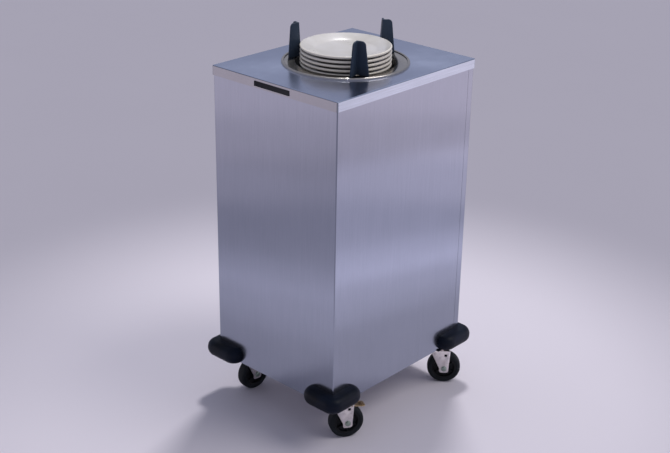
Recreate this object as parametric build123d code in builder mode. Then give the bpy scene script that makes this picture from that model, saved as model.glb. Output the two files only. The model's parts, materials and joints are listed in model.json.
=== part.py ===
from build123d import *

import os
from math import cos, radians, sin

# Heated plate dispenser: a sheet-metal cabinet on four casters round one spring-levelled plate well.
# Millimetres, +Z up. The floor is Z = 0, the front faces -Y and the origin lies under the cabinet's middle.

# Cabinet shell
cap_width = 457.0  # left to right
cap_depth = 559.0  # front to rear
body_height = 876.0  # from the underside of the body to the top of the deck
cap_skirt = 27.0
cap_sheet = 1.5
cap_gap = 1.0  # between the skirt and the walls
cap_corner_radius = 4.0
cap_edge_radius = 2.5
wall_sheet = 1.2
wall_corner_radius = 3.0
rear_return = 22.0  # the rear panel's short sides
seam_gap = 0.8  # between the wrapper and the rear panel
pan_sheet = 2.0
pan_flange = 30.0
rail_width = 90.0
rail_height = 20.0
rail_sheet = 3.0
upright_sheet = 2.0
upright_side_leg = 45.0
upright_rear_leg = 25.0
screw_radius = 2.0
screw_head_radius = 4.5
screw_head_height = 3.0
screw_grip = 4.0  # length past the sheets
screw_inset = 14.0  # from the side wall's inner face
screw_pitch = 380.0
screw_rows = 2

# Plate well in the deck
well_radius = 138.0
tube_sheet = 1.2
tube_floor_gap = 91.0  # from the underside of the body to the tube's lower edge
ring_radius = 175.0
ring_sheet = 2.0
bead_width = 8.0
bead_height = 3.5
bead_edge = 1.0  # straight part of the bead's outer side

# Plates and their guides
plate_radius = 125.0
plate_foot_radius = 70.0
plate_well_radius = 84.0
plate_height = 25.0
plate_pitch = 12.0  # one plate's share of the stack, which is its thickness at the well
plate_rim = 3.0
plate_count = 5
top_rim_rise = 48.0  # the top plate's rim above the deck
guide_gap = 3.0  # between a plate and a guide
guide_start = -36.0  # plan angle of the first guide, in degrees
guide_count = 3
guide_height = 93.0
guide_twist = 8.0  # how far the guides are turned from the well's radius, in degrees
guide_lean = 6.0  # the apex falls back from the plates by this towards the top
guide_wall = 5.0
guide_foot = 40.0  # length of each leg at the foot
guide_head = 26.0  # and at the top
guide_corner = 10.0
tongue_start = 21.0  # along the leg from the apex
tongue_length = 14.0
tongue_drop = 8.0  # below the guide's foot
tongue_clearance = 0.2

# Carrier, its springs and the slots that it runs in
carrier_radius = 122.0
carrier_sheet = 3.0
stem_radius = 10.0
spider_drop = 240.0  # from the carrier's top to the arms' top
spider_hub_radius = 22.0
arm_width = 10.0
arm_thickness = 6.0
arm_reach = 32.8  # from the tube's wall to the arm's end
slot_width = 16.0
slot_end_gap = 5.0
shoe_clearance = 0.3
shoe_inner_gap = 5.0  # how far the shoe reaches inside the tube
shoe_outer_gap = 7.0  # and outside it
shoe_height = 20.0
travel_up = 30.0
hanger_drop = 25.0  # from the deck's underside to the hanger's top
hanger_width = 20.0
hanger_sheet = 2.0
hanger_foot = 40.0
spring_inset = 12.0  # from the arm's end to the spring
spring_radius = 6.0

# Heaters under the well
heater_length = 260.0
heater_width = 38.0
heater_thickness = 9.0
heater_spacing = 100.0
heater_rise = 34.0  # from the pan's floor to the heaters' underside
bracket_length = 180.0
bracket_width = 20.0
bracket_sheet = 2.0
bracket_spacing = 200.0

# Controls on the rear panel, seen from behind: across is to the right, rise is from the underside of the body
control_rise = 166.0
box_width = 170.0
box_height = 100.0
box_depth = 60.0
box_sheet = 1.2
knob_across = 50.0
thermostat_side = 36.0
thermostat_depth = 30.0
shaft_radius = 3.0
shaft_length = 14.0
shaft_hole_gap = 1.5
knob_radius = 17.0
knob_base = 5.0
knob_height = 16.0
knob_grip = 9.0
knob_gap = 1.5
knob_end_gap = 0.5
switch_across = -5.0
switch_wall = 1.5
switch_bezel = 2.0
switch_depth = 25.0
switch_lip = 2.0  # the bezel past the body
rocker_width = 13.8
rocker_reach = 8.6  # from the pivot to the tip
rocker_rise = 1.5
rocker_dip = 0.2
rocker_tilt = 8.0
rocker_gap = 0.3
rocker_floor_gap = 1.0
lamp_across = -55.0
lamp_width = 11.0
lamp_height = 17.0
lamp_depth = 18.0
lamp_lip = 1.5
lamp_lens = 1.5
gland_rise = 86.0
gland_radius = 8.0
gland_bore = 5.0
gland_nut_radius = 13.0
gland_nut_height = 6.0
gland_nose = 8.0
gland_tail = 14.0

# Corner bumpers
bumper_depth = 36.0
bumper_height = 48.0
bumper_drop = 4.0  # below the underside of the body
bumper_reach = 95.0  # along each wall from the corner
bumper_round = 22.0
bumper_flats = 2  # the round is laid out in flats
bumper_web = 4.0  # flange held between the base pan and the caster plate
bumper_web_root = 5.0  # how far the flange runs into the bumper

# Casters
caster_inset_x = 43.0  # swivel axis from the side wall
caster_inset_y = 57.0
caster_trail = 32.0  # wheel axle behind the swivel axis
wheel_radius = 50.0
tyre_width = 30.0
tread_width = 23.0
hub_radius = 37.0
hub_width = 34.0
axle_radius = 5.0
axle_head_radius = 8.5
axle_head_height = 4.0
running_clearance = 0.05
wheel_gap = 6.0  # between the wheel and the fork's crown
leg_gap = 36.0  # between the fork's legs
leg_sheet = 3.0
leg_lead = 10.0  # the leg's top ahead of the swivel axis
leg_tail = 50.0  # and behind it
leg_end = 14.0  # half the width of the leg's end
leg_corner = 6.0  # cut off the end's corners
leg_window = 8.0
leg_window_x = 36.0
leg_window_drop = 15.0
crown_reach = 30.0
crown_thickness = 4.0
race_radius = 25.0
race_height = 16.6
swivel_gap = 0.4
kingpin_radius = 8.0
kingpin_head_radius = 13.0
kingpin_head_height = 3.6
caster_plate_x = 70.0
caster_plate_y = 80.0
caster_plate_sheet = 3.0
bolt_spacing_x = 50.0
bolt_spacing_y = 60.0
bolt_side = 8.0
bolt_head_side = 14.0
bolt_head_height = 4.0
bolt_nut_radius = 7.5
bolt_nut_height = 6.0
bolt_tip = 2.0
bolt_clearance = 0.2

# Brake levers on the front casters
brake_pivot_x = 44.0
brake_pivot_drop = 5.5  # below the fork legs' top
brake_pin_radius = 3.0
brake_boss_radius = 4.2
brake_width = 28.0
brake_sheet = 3.0
brake_shoe_x = 66.0
brake_shoe_drop = 9.4  # the shoe's underside below the pivot
brake_pedal_x = 86.0
brake_pedal_drop = 12.0

# Heights and widths that follow
axle_height = wheel_radius
crown_bottom = 2 * wheel_radius + wheel_gap
crown_top = crown_bottom + crown_thickness
race_top = crown_top + race_height
caster_plate_bottom = race_top + swivel_gap
caster_plate_top = caster_plate_bottom + caster_plate_sheet
body_bottom = caster_plate_top + bumper_web
deck_height = body_bottom + body_height
deck_underside = deck_height - cap_sheet
ring_top = deck_height + ring_sheet
body_width = cap_width - 2 * (cap_sheet + cap_gap)
body_depth = cap_depth - 2 * (cap_sheet + cap_gap)
inner_width = body_width - 2 * wall_sheet
inner_depth = body_depth - 2 * wall_sheet
inner_corner = wall_corner_radius - wall_sheet
wall_height = deck_underside - body_bottom
rear_face = body_depth / 2
pan_floor = body_bottom + pan_sheet
rail_floor = pan_floor + rail_sheet
upright_foot = body_bottom + pan_flange
screw_x = inner_width / 2 - screw_inset
screw_height = (upright_foot + deck_underside) / 2
caster_x = body_width / 2 - caster_inset_x
caster_y = body_depth / 2 - caster_inset_y
bolt_hole = bolt_side + 2 * bolt_clearance
tube_radius = well_radius + tube_sheet
tube_bottom = body_bottom + tube_floor_gap
guide_radius = plate_radius + guide_gap
carrier_top = deck_height + top_rim_rise - (plate_count - 1) * plate_pitch - plate_height
spider_top = carrier_top - spider_drop
spider_bottom = spider_top - arm_thickness
shoe_bottom = (spider_top + spider_bottom - shoe_height) / 2
slot_start = guide_start + 180 / guide_count
slot_top = shoe_bottom + shoe_height + travel_up + slot_end_gap
hanger_top = deck_underside - hanger_drop
arm_end = tube_radius + arm_reach
spring_circle = arm_end - spring_inset
control_height = body_bottom + control_rise
bumper_bottom = body_bottom - bumper_drop
fork_width = leg_gap + 2 * leg_sheet

corners = {
    "front_left": (-1, -1),
    "front_right": (1, -1),
    "rear_left": (-1, 1),
    "rear_right": (1, 1),
}
caster_heading = {"front_left": 85.0, "front_right": 60.0, "rear_left": 50.0, "rear_right": 40.0}
bumper_heading = {"front_left": 180.0, "front_right": 270.0, "rear_left": 90.0, "rear_right": 0.0}
braked = ("front_left", "front_right")
guide_angles = [guide_start + 360 / guide_count * i for i in range(guide_count)]
slot_angles = [slot_start + 360 / guide_count * i for i in range(guide_count)]


def flat_plane(origin, heading):
    """Level plane whose x points along the heading, an angle in plan in degrees."""
    return Plane(origin=origin, x_dir=(cos(radians(heading)), sin(radians(heading)), 0), z_dir=(0, 0, 1))


def upright_plane(origin, heading, across=0.0):
    """Upright plane whose x points along the heading and y is up, set to the left of the origin by across."""
    level = flat_plane(origin, heading)
    return Plane(origin=level.origin + level.y_dir * across, x_dir=level.x_dir, z_dir=-level.y_dir)


def save(builder, name):
    """Name a finished piece and write it."""
    builder.part.label = name
    export_step(builder.part, f"parts/{name}.step")


os.makedirs("parts", exist_ok=True)


def guide_plane(angle, rise=0.0, lean=0.0):
    """Level plane at a guide's apex, above its foot by rise, with x and y along the two legs."""
    apex = flat_plane((0, 0, ring_top + rise), angle).from_local_coords((guide_radius + lean, 0, 0))
    return flat_plane(apex, angle + guide_twist - 45)


def guide_section(plane, leg):
    """The guide's section: two legs at right angles."""
    with BuildSketch(plane) as section:
        Rectangle(leg, leg, align=(Align.MIN, Align.MIN))
        with Locations((guide_wall, guide_wall)):
            Rectangle(leg, leg, align=(Align.MIN, Align.MIN), mode=Mode.SUBTRACT)
    return section.sketch


def guide_tongues(angle, gap):
    """The tongues under a guide's legs, grown by a gap on every side."""
    middle = tongue_start + tongue_length / 2
    with BuildSketch(guide_plane(angle)) as tongues:
        with Locations((middle, guide_wall / 2)):
            Rectangle(tongue_length + 2 * gap, guide_wall + 2 * gap)
        with Locations((guide_wall / 2, middle)):
            Rectangle(guide_wall + 2 * gap, tongue_length + 2 * gap)
    return tongues.sketch


# The guides' tongues pass through the ring and the deck in these slots
with BuildPart() as tongue_slots:
    for angle in guide_angles:
        extrude(guide_tongues(angle, tongue_clearance), amount=tongue_drop, both=True)

# Top cap: a folded pan with a rounded edge and the well's opening
with BuildPart() as top_cap:
    with BuildSketch(Plane.XY.offset(deck_height - cap_skirt)):
        RectangleRounded(cap_width, cap_depth, cap_corner_radius)
    extrude(amount=cap_skirt)
    fillet(top_cap.faces().sort_by(Axis.Z)[-1].edges(), cap_edge_radius)
    with BuildSketch(Plane.XY.offset(deck_height - cap_skirt)):
        RectangleRounded(cap_width - 2 * cap_sheet, cap_depth - 2 * cap_sheet, cap_corner_radius - cap_sheet)
    extrude(amount=cap_skirt - cap_sheet, mode=Mode.SUBTRACT)
    with BuildSketch(Plane.XY.offset(deck_underside)):
        Circle(well_radius)
    extrude(amount=cap_sheet, mode=Mode.SUBTRACT)
    add(tongue_slots.part, mode=Mode.SUBTRACT)
save(top_cap, "top_cap")

# Body wrapper: the front and both sides, bent from one sheet
with BuildPart() as body_wrapper:
    with BuildSketch(Plane.XY.offset(body_bottom)):
        RectangleRounded(body_width, body_depth, wall_corner_radius)
        RectangleRounded(inner_width, inner_depth, inner_corner, mode=Mode.SUBTRACT)
        with Locations((0, rear_face)):
            Rectangle(body_width, 2 * (rear_return + seam_gap), mode=Mode.SUBTRACT)
    extrude(amount=wall_height)
save(body_wrapper, "body_wrapper")

# Control places on the rear panel's outer face, with x to the right as seen from behind
rear_plane = Plane(origin=(0, rear_face, control_height), x_dir=(-1, 0, 0), z_dir=(0, 1, 0))
panel_inside = rear_plane.offset(-wall_sheet)
gland_place = (0, gland_rise - control_rise)
screw_place = (0, screw_height - control_height)
rocker_recess_width = rocker_width + 2 * rocker_gap
rocker_recess_height = 2 * (rocker_reach + rocker_gap)
switch_width = rocker_recess_width + 2 * switch_wall
switch_height = rocker_recess_height + 2 * switch_wall

# Rear panel with its returns and the control openings
with BuildPart() as rear_panel:
    with BuildSketch(Plane.XY.offset(body_bottom)):
        RectangleRounded(body_width, body_depth, wall_corner_radius)
        RectangleRounded(inner_width, inner_depth, inner_corner, mode=Mode.SUBTRACT)
        with Locations((0, -rear_return)):
            Rectangle(body_width, body_depth, mode=Mode.SUBTRACT)
    extrude(amount=wall_height)
    with BuildSketch(rear_plane):
        with Locations((knob_across, 0)):
            Circle(shaft_radius + shaft_hole_gap)
        with Locations((switch_across, 0)):
            Rectangle(switch_width, switch_height)
        with Locations((lamp_across, 0)):
            Rectangle(lamp_width, lamp_height)
        with Locations(gland_place):
            Circle(gland_radius)
        with Locations(screw_place):
            with GridLocations(2 * screw_x, screw_pitch, 2, screw_rows):
                Circle(screw_radius)
    extrude(amount=-wall_sheet, mode=Mode.SUBTRACT)
save(rear_panel, "rear_panel")

# Rear uprights: two angles behind the seams, standing on the pan's flange
with BuildPart() as rear_uprights:
    with BuildSketch(Plane.XY.offset(upright_foot)):
        RectangleRounded(inner_width, inner_depth, inner_corner)
        Rectangle(inner_width - 2 * upright_sheet, inner_depth - 2 * upright_sheet, mode=Mode.SUBTRACT)
        Rectangle(inner_width - 2 * upright_rear_leg, inner_depth, mode=Mode.SUBTRACT)
        with Locations((0, -upright_side_leg)):
            Rectangle(inner_width, inner_depth, mode=Mode.SUBTRACT)
    extrude(amount=deck_underside - upright_foot)
    with BuildSketch(panel_inside):
        with Locations(screw_place):
            with GridLocations(2 * screw_x, screw_pitch, 2, screw_rows):
                Circle(screw_radius)
    extrude(amount=-upright_sheet, mode=Mode.SUBTRACT)
save(rear_uprights, "rear_uprights")

# Hex-head screws that hold the rear panel to the uprights
with BuildPart() as rear_panel_screws:
    with BuildSketch(rear_plane):
        with Locations(screw_place):
            with GridLocations(2 * screw_x, screw_pitch, 2, screw_rows):
                RegularPolygon(screw_head_radius, 6)
    extrude(amount=screw_head_height)
    with BuildSketch(rear_plane):
        with Locations(screw_place):
            with GridLocations(2 * screw_x, screw_pitch, 2, screw_rows):
                Circle(screw_radius)
    extrude(amount=-(wall_sheet + upright_sheet + screw_grip))
save(rear_panel_screws, "rear_panel_screws")

# Base pan: a tray whose flange stands inside the walls
with BuildPart() as base_pan:
    with BuildSketch(Plane.XY.offset(body_bottom)):
        RectangleRounded(inner_width, inner_depth, inner_corner)
    extrude(amount=pan_flange)
    with BuildSketch(Plane.XY.offset(pan_floor)):
        Rectangle(inner_width - 2 * pan_sheet, inner_depth - 2 * pan_sheet)
    extrude(amount=pan_flange - pan_sheet, mode=Mode.SUBTRACT)
    with BuildSketch(Plane.XY.offset(body_bottom)):
        with GridLocations(2 * caster_x, 2 * caster_y, 2, 2):
            with GridLocations(bolt_spacing_x, bolt_spacing_y, 2, 2):
                Rectangle(bolt_hole, bolt_hole)
    extrude(amount=pan_sheet, mode=Mode.SUBTRACT)
save(base_pan, "base_pan")

# Caster rails: channels across the pan that carry the caster bolts
rail_length = inner_width - 2 * pan_sheet
for name, rail_y in (("front_caster_rail", -caster_y), ("rear_caster_rail", caster_y)):
    with BuildPart() as caster_rail:
        with BuildSketch(Plane.YZ.offset(-rail_length / 2)):
            with Locations((rail_y, pan_floor)):
                Rectangle(rail_width, rail_height, align=(Align.CENTER, Align.MIN))
            with Locations((rail_y, rail_floor)):
                Rectangle(
                    rail_width - 2 * rail_sheet,
                    rail_height,
                    align=(Align.CENTER, Align.MIN),
                    mode=Mode.SUBTRACT,
                )
        extrude(amount=rail_length)
        with BuildSketch(Plane.XY.offset(pan_floor)):
            with Locations((-caster_x, rail_y), (caster_x, rail_y)):
                with GridLocations(bolt_spacing_x, bolt_spacing_y, 2, 2):
                    Rectangle(bolt_hole, bolt_hole)
        extrude(amount=rail_sheet, mode=Mode.SUBTRACT)
    save(caster_rail, name)

# Square-neck bolts through the rails, the pan, the bumpers' flanges and the caster plates
bolt_bottom = caster_plate_bottom - bolt_nut_height - bolt_tip
with BuildPart() as caster_bolts:
    with BuildSketch(Plane.XY.offset(bolt_bottom)):
        with GridLocations(2 * caster_x, 2 * caster_y, 2, 2):
            with GridLocations(bolt_spacing_x, bolt_spacing_y, 2, 2):
                Rectangle(bolt_side, bolt_side)
    extrude(amount=rail_floor - bolt_bottom)
    with BuildSketch(Plane.XY.offset(rail_floor)):
        with GridLocations(2 * caster_x, 2 * caster_y, 2, 2):
            with GridLocations(bolt_spacing_x, bolt_spacing_y, 2, 2):
                Rectangle(bolt_head_side, bolt_head_side)
    extrude(amount=bolt_head_height)
    with BuildSketch(Plane.XY.offset(caster_plate_bottom)):
        with GridLocations(2 * caster_x, 2 * caster_y, 2, 2):
            with GridLocations(bolt_spacing_x, bolt_spacing_y, 2, 2):
                RegularPolygon(bolt_nut_radius, 6)
    extrude(amount=-bolt_nut_height)
save(caster_bolts, "caster_bolts")

# Well ring: a flat trim ring with a raised bead round its edge
bead_top = ring_top + bead_height
with BuildPart() as well_ring:
    with BuildSketch(Plane.XZ):
        with BuildLine():
            Polyline(
                (well_radius, deck_height),
                (ring_radius, deck_height),
                (ring_radius, ring_top + bead_edge),
                (ring_radius - bead_width / 2, bead_top),
                (ring_radius - bead_width, ring_top),
                (well_radius, ring_top),
                close=True,
            )
        make_face()
    revolve(axis=Axis.Z)
    add(tongue_slots.part, mode=Mode.SUBTRACT)
save(well_ring, "well_ring")

# Dispenser tube: hangs under the deck, with slots for the carrier's arms
with BuildPart() as dispenser_tube:
    with BuildSketch(Plane.XY.offset(tube_bottom)):
        Circle(tube_radius)
        Circle(well_radius, mode=Mode.SUBTRACT)
    extrude(amount=deck_underside - tube_bottom)
    with BuildSketch(Plane.XY.offset(tube_bottom)):
        with PolarLocations(tube_radius, guide_count, slot_start):
            Rectangle(slot_width, slot_width)
    extrude(amount=slot_top - tube_bottom, mode=Mode.SUBTRACT)
save(dispenser_tube, "dispenser_tube")

# Spring hangers: brackets on the tube's outside, above the slots
with BuildPart() as spring_hangers:
    with BuildSketch(Plane.XY.offset(hanger_top)):
        with PolarLocations(tube_radius + arm_reach / 2, guide_count, slot_start):
            Rectangle(arm_reach + 2 * hanger_sheet, hanger_width)
        Circle(tube_radius, mode=Mode.SUBTRACT)
    extrude(amount=-hanger_sheet)
    with BuildSketch(Plane.XY.offset(hanger_top)):
        with PolarLocations(tube_radius, guide_count, slot_start):
            Rectangle(2 * hanger_sheet, hanger_width)
        Circle(tube_radius, mode=Mode.SUBTRACT)
    extrude(amount=-hanger_foot)
save(spring_hangers, "spring_hangers")

# Lift springs: plain envelopes between the hangers and the carrier's arms
for number, angle in enumerate(slot_angles, start=1):
    with BuildPart() as lift_spring:
        with BuildSketch(flat_plane((0, 0, spider_top), angle)):
            with Locations((spring_circle, 0)):
                Circle(spring_radius)
        extrude(amount=hanger_top - hanger_sheet - spider_top)
    save(lift_spring, f"lift_spring_{number}")

# Plate guides: tapered angle posts with the apex towards the plates
for number, angle in enumerate(guide_angles, start=1):
    with BuildPart() as plate_guide:
        foot = guide_section(guide_plane(angle), guide_foot)
        head = guide_section(guide_plane(angle, guide_height, guide_lean), guide_head)
        loft(sections=[foot, head])
        fillet(plate_guide.faces().sort_by(Axis.Z)[-1].edges().sort_by(SortBy.LENGTH)[:2], guide_corner)
        extrude(guide_tongues(angle, 0), amount=-tongue_drop)
    save(plate_guide, f"plate_guide_{number}")

# Plate carrier: a disc on a stem and a spider whose arms reach out through the tube's slots
with BuildPart() as carrier_plate:
    with BuildSketch(Plane.XY.offset(carrier_top)):
        Circle(carrier_radius)
    extrude(amount=-carrier_sheet)
save(carrier_plate, "carrier_plate")

with BuildPart() as carrier_stem:
    with BuildSketch(Plane.XY.offset(spider_top)):
        Circle(stem_radius)
    extrude(amount=spider_drop - carrier_sheet)
save(carrier_stem, "carrier_stem")

with BuildPart() as carrier_spider:
    with BuildSketch(Plane.XY.offset(spider_bottom)):
        Circle(spider_hub_radius)
        with PolarLocations(arm_end / 2, guide_count, slot_start):
            Rectangle(arm_end, arm_width)
    extrude(amount=arm_thickness)
save(carrier_spider, "carrier_spider")

# Glide shoes: blocks on the arms that run in the slots
shoe_depth = shoe_inner_gap + tube_sheet + shoe_outer_gap
with BuildPart() as glide_shoes:
    with BuildSketch(Plane.XY.offset(shoe_bottom)):
        with PolarLocations(well_radius - shoe_inner_gap + shoe_depth / 2, guide_count, slot_start):
            Rectangle(shoe_depth, slot_width - 2 * shoe_clearance)
    extrude(amount=shoe_height)
    add(carrier_spider.part, mode=Mode.SUBTRACT)
save(glide_shoes, "glide_shoes")

# Plates: shallow turned dishes that nest at the pitch
with BuildPart() as plate:
    with BuildSketch(Plane.XZ):
        with BuildLine():
            Polyline(
                (0, 0),
                (plate_foot_radius, 0),
                (plate_radius, plate_height - plate_rim),
                (plate_radius, plate_height),
                (plate_well_radius, plate_pitch),
                (0, plate_pitch),
                close=True,
            )
        make_face()
    revolve(axis=Axis.Z)

stacked = [
    plate.part.moved(Location((0, 0, carrier_top + plate_pitch * i))) for i in range(plate_count)
]
plate_stack = Compound(label="plate_stack", children=stacked[:-1])
export_step(plate_stack, "parts/plate_stack.step")
top_plate = stacked[-1]
top_plate.label = "top_plate"
export_step(top_plate, "parts/top_plate.step")

# Strip heaters under the well, on two portal brackets
heater_bottom = pan_floor + heater_rise
with BuildPart() as heating_elements:
    with BuildSketch(Plane.XY.offset(heater_bottom)):
        with GridLocations(heater_spacing, 0, 2, 1):
            Rectangle(heater_width, heater_length)
    extrude(amount=heater_thickness)
save(heating_elements, "heating_elements")

with BuildPart() as heater_brackets:
    for place in (-bracket_spacing / 2, bracket_spacing / 2):
        with BuildSketch(Plane.XZ.offset(-place)):
            with Locations((0, pan_floor)):
                Rectangle(bracket_length, heater_rise, align=(Align.CENTER, Align.MIN))
                Rectangle(
                    bracket_length - 2 * bracket_sheet,
                    heater_rise - bracket_sheet,
                    align=(Align.CENTER, Align.MIN),
                    mode=Mode.SUBTRACT,
                )
        extrude(amount=bracket_width / 2, both=True)
save(heater_brackets, "heater_brackets")

# Control box: a cover inside the rear panel, open towards it
with BuildPart() as control_box:
    with BuildSketch(panel_inside):
        Rectangle(box_width, box_height)
    extrude(amount=-box_depth)
    with BuildSketch(panel_inside):
        Rectangle(box_width - 2 * box_sheet, box_height - 2 * box_sheet)
    extrude(amount=-(box_depth - box_sheet), mode=Mode.SUBTRACT)
save(control_box, "control_box")

# Thermostat body with its shaft, and the knob on it
with BuildPart() as thermostat:
    with BuildSketch(panel_inside):
        with Locations((knob_across, 0)):
            Rectangle(thermostat_side, thermostat_side)
    extrude(amount=-thermostat_depth)
    with BuildSketch(panel_inside):
        with Locations((knob_across, 0)):
            Circle(shaft_radius)
    extrude(amount=wall_sheet + shaft_length)
save(thermostat, "thermostat")

with BuildPart() as thermostat_knob:
    with BuildSketch(rear_plane.offset(knob_gap)):
        with Locations((knob_across, 0)):
            Circle(knob_radius)
    extrude(amount=knob_base)
    with BuildSketch(rear_plane.offset(knob_gap)):
        with Locations((knob_across, 0)):
            Rectangle(knob_grip, 2 * (knob_radius - knob_gap))
    extrude(amount=knob_height)
    with BuildSketch(rear_plane):
        with Locations((knob_across, 0)):
            Circle(shaft_radius + running_clearance)
    extrude(amount=shaft_length + knob_end_gap, mode=Mode.SUBTRACT)
save(thermostat_knob, "thermostat_knob")

# Power switch: a snap-in body with a recess for its rocker
rocker_recess_depth = rocker_reach + rocker_floor_gap
bezel_face = rear_plane.offset(switch_bezel)
with BuildPart() as power_switch:
    with BuildSketch(rear_plane):
        with Locations((switch_across, 0)):
            Rectangle(switch_width + 2 * switch_lip, switch_height + 2 * switch_lip)
    extrude(amount=switch_bezel)
    with BuildSketch(rear_plane):
        with Locations((switch_across, 0)):
            Rectangle(switch_width, switch_height)
    extrude(amount=-switch_depth)
    with BuildSketch(bezel_face):
        with Locations((switch_across, 0)):
            Rectangle(rocker_recess_width, rocker_recess_height)
    extrude(amount=-rocker_recess_depth, mode=Mode.SUBTRACT)
save(power_switch, "power_switch")

# Rocker: drawn across its pivot, tilted to one side
rocker_side = bezel_face.from_local_coords((switch_across, 0, 0)) - Vector(rocker_width / 2, 0, 0)
rocker_out = (0, cos(radians(rocker_tilt)), -sin(radians(rocker_tilt)))
rocker_plane = Plane(origin=rocker_side, x_dir=rocker_out, z_dir=(1, 0, 0))
rocker_tip = (rocker_reach**2 - rocker_rise**2) ** 0.5
with BuildPart() as switch_rocker:
    with BuildSketch(rocker_plane):
        with BuildLine():
            Polyline((rocker_rise, rocker_tip), (rocker_dip, 0), (rocker_rise, -rocker_tip))
            ThreePointArc((rocker_rise, -rocker_tip), (-rocker_reach, 0), (rocker_rise, rocker_tip))
        make_face()
    extrude(amount=rocker_width)
save(switch_rocker, "switch_rocker")

# Pilot lamp with its raised lens
with BuildPart() as pilot_lamp:
    with BuildSketch(rear_plane):
        with Locations((lamp_across, 0)):
            Rectangle(lamp_width + 2 * lamp_lip, lamp_height + 2 * lamp_lip)
    extrude(amount=lamp_lip)
    with BuildSketch(rear_plane):
        with Locations((lamp_across, 0)):
            Rectangle(lamp_width, lamp_height)
    extrude(amount=-lamp_depth)
    with BuildSketch(rear_plane.offset(lamp_lip)):
        with Locations((lamp_across, 0)):
            Rectangle(lamp_width, lamp_height)
    extrude(amount=lamp_lens, taper=30)
save(pilot_lamp, "pilot_lamp")

# Cord inlet gland: hex nuts on both sides of the panel and a nose, with the bore left open
with BuildPart() as cord_gland:
    with BuildSketch(rear_plane):
        with Locations(gland_place):
            RegularPolygon(gland_nut_radius, 6)
    extrude(amount=gland_nut_height)
    with BuildSketch(rear_plane.offset(-gland_tail)):
        with Locations(gland_place):
            Circle(gland_radius)
    extrude(amount=gland_tail + gland_nut_height + gland_nose)
    with BuildSketch(panel_inside):
        with Locations(gland_place):
            RegularPolygon(gland_nut_radius, 6)
    extrude(amount=-gland_nut_height)
    with BuildSketch(rear_plane.offset(-gland_tail)):
        with Locations(gland_place):
            Circle(gland_bore)
    extrude(amount=gland_tail + gland_nut_height + gland_nose, mode=Mode.SUBTRACT)
save(cord_gland, "cord_gland")


def bumper_section(origin, heading):
    """The bumper's D-shaped section, standing out from the wall along the heading."""
    flat = bumper_depth - bumper_round
    turns = [radians(90 / bumper_flats * i) for i in range(bumper_flats + 1)]
    nose = [(flat + bumper_round * sin(turn), bumper_round * (1 - cos(turn))) for turn in turns]
    under = [(out, bumper_bottom + rise) for out, rise in nose]
    over = [(out, bumper_bottom + bumper_height - rise) for out, rise in reversed(nose)]
    with BuildSketch(upright_plane(origin, heading)) as section:
        with BuildLine():
            Polyline((0, bumper_bottom), *under, *over, (0, bumper_bottom + bumper_height), close=True)
        make_face()
    return section.sketch


# Corner bumpers: along both walls, round the corner and bull-nosed at the ends
bumper_straight = bumper_reach - bumper_depth
for corner, (side_x, side_y) in corners.items():
    edge = Vector(side_x * body_width / 2, side_y * body_depth / 2, 0)
    with BuildPart() as corner_bumper:
        revolve(
            bumper_section(edge, bumper_heading[corner]),
            axis=Axis(edge, (0, 0, 1)),
            revolution_arc=90,
        )
        for turn, way in ((0, 1), (90, -1)):
            heading = bumper_heading[corner] + turn
            end = edge + upright_plane(edge, heading).z_dir * way * bumper_straight
            extrude(bumper_section(edge, heading), amount=way * bumper_straight)
            revolve(bumper_section(end, heading), axis=Axis(end, (0, 0, -way)), revolution_arc=90)
        web_inner = Vector(caster_x - caster_plate_x / 2, caster_y - caster_plate_y / 2)
        web_outer = Vector(body_width / 2 + bumper_web_root, body_depth / 2 + bumper_web_root)
        web_middle = (web_inner + web_outer) / 2
        with BuildSketch(Plane.XY.offset(caster_plate_top)):
            with Locations((side_x * web_middle.X, side_y * web_middle.Y)):
                Rectangle(web_outer.X - web_inner.X, web_outer.Y - web_inner.Y)
            with Locations((side_x * caster_x, side_y * caster_y)):
                with GridLocations(bolt_spacing_x, bolt_spacing_y, 2, 2):
                    Rectangle(bolt_hole, bolt_hole, mode=Mode.SUBTRACT)
        extrude(amount=bumper_web)
    save(corner_bumper, f"{corner}_bumper")

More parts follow.
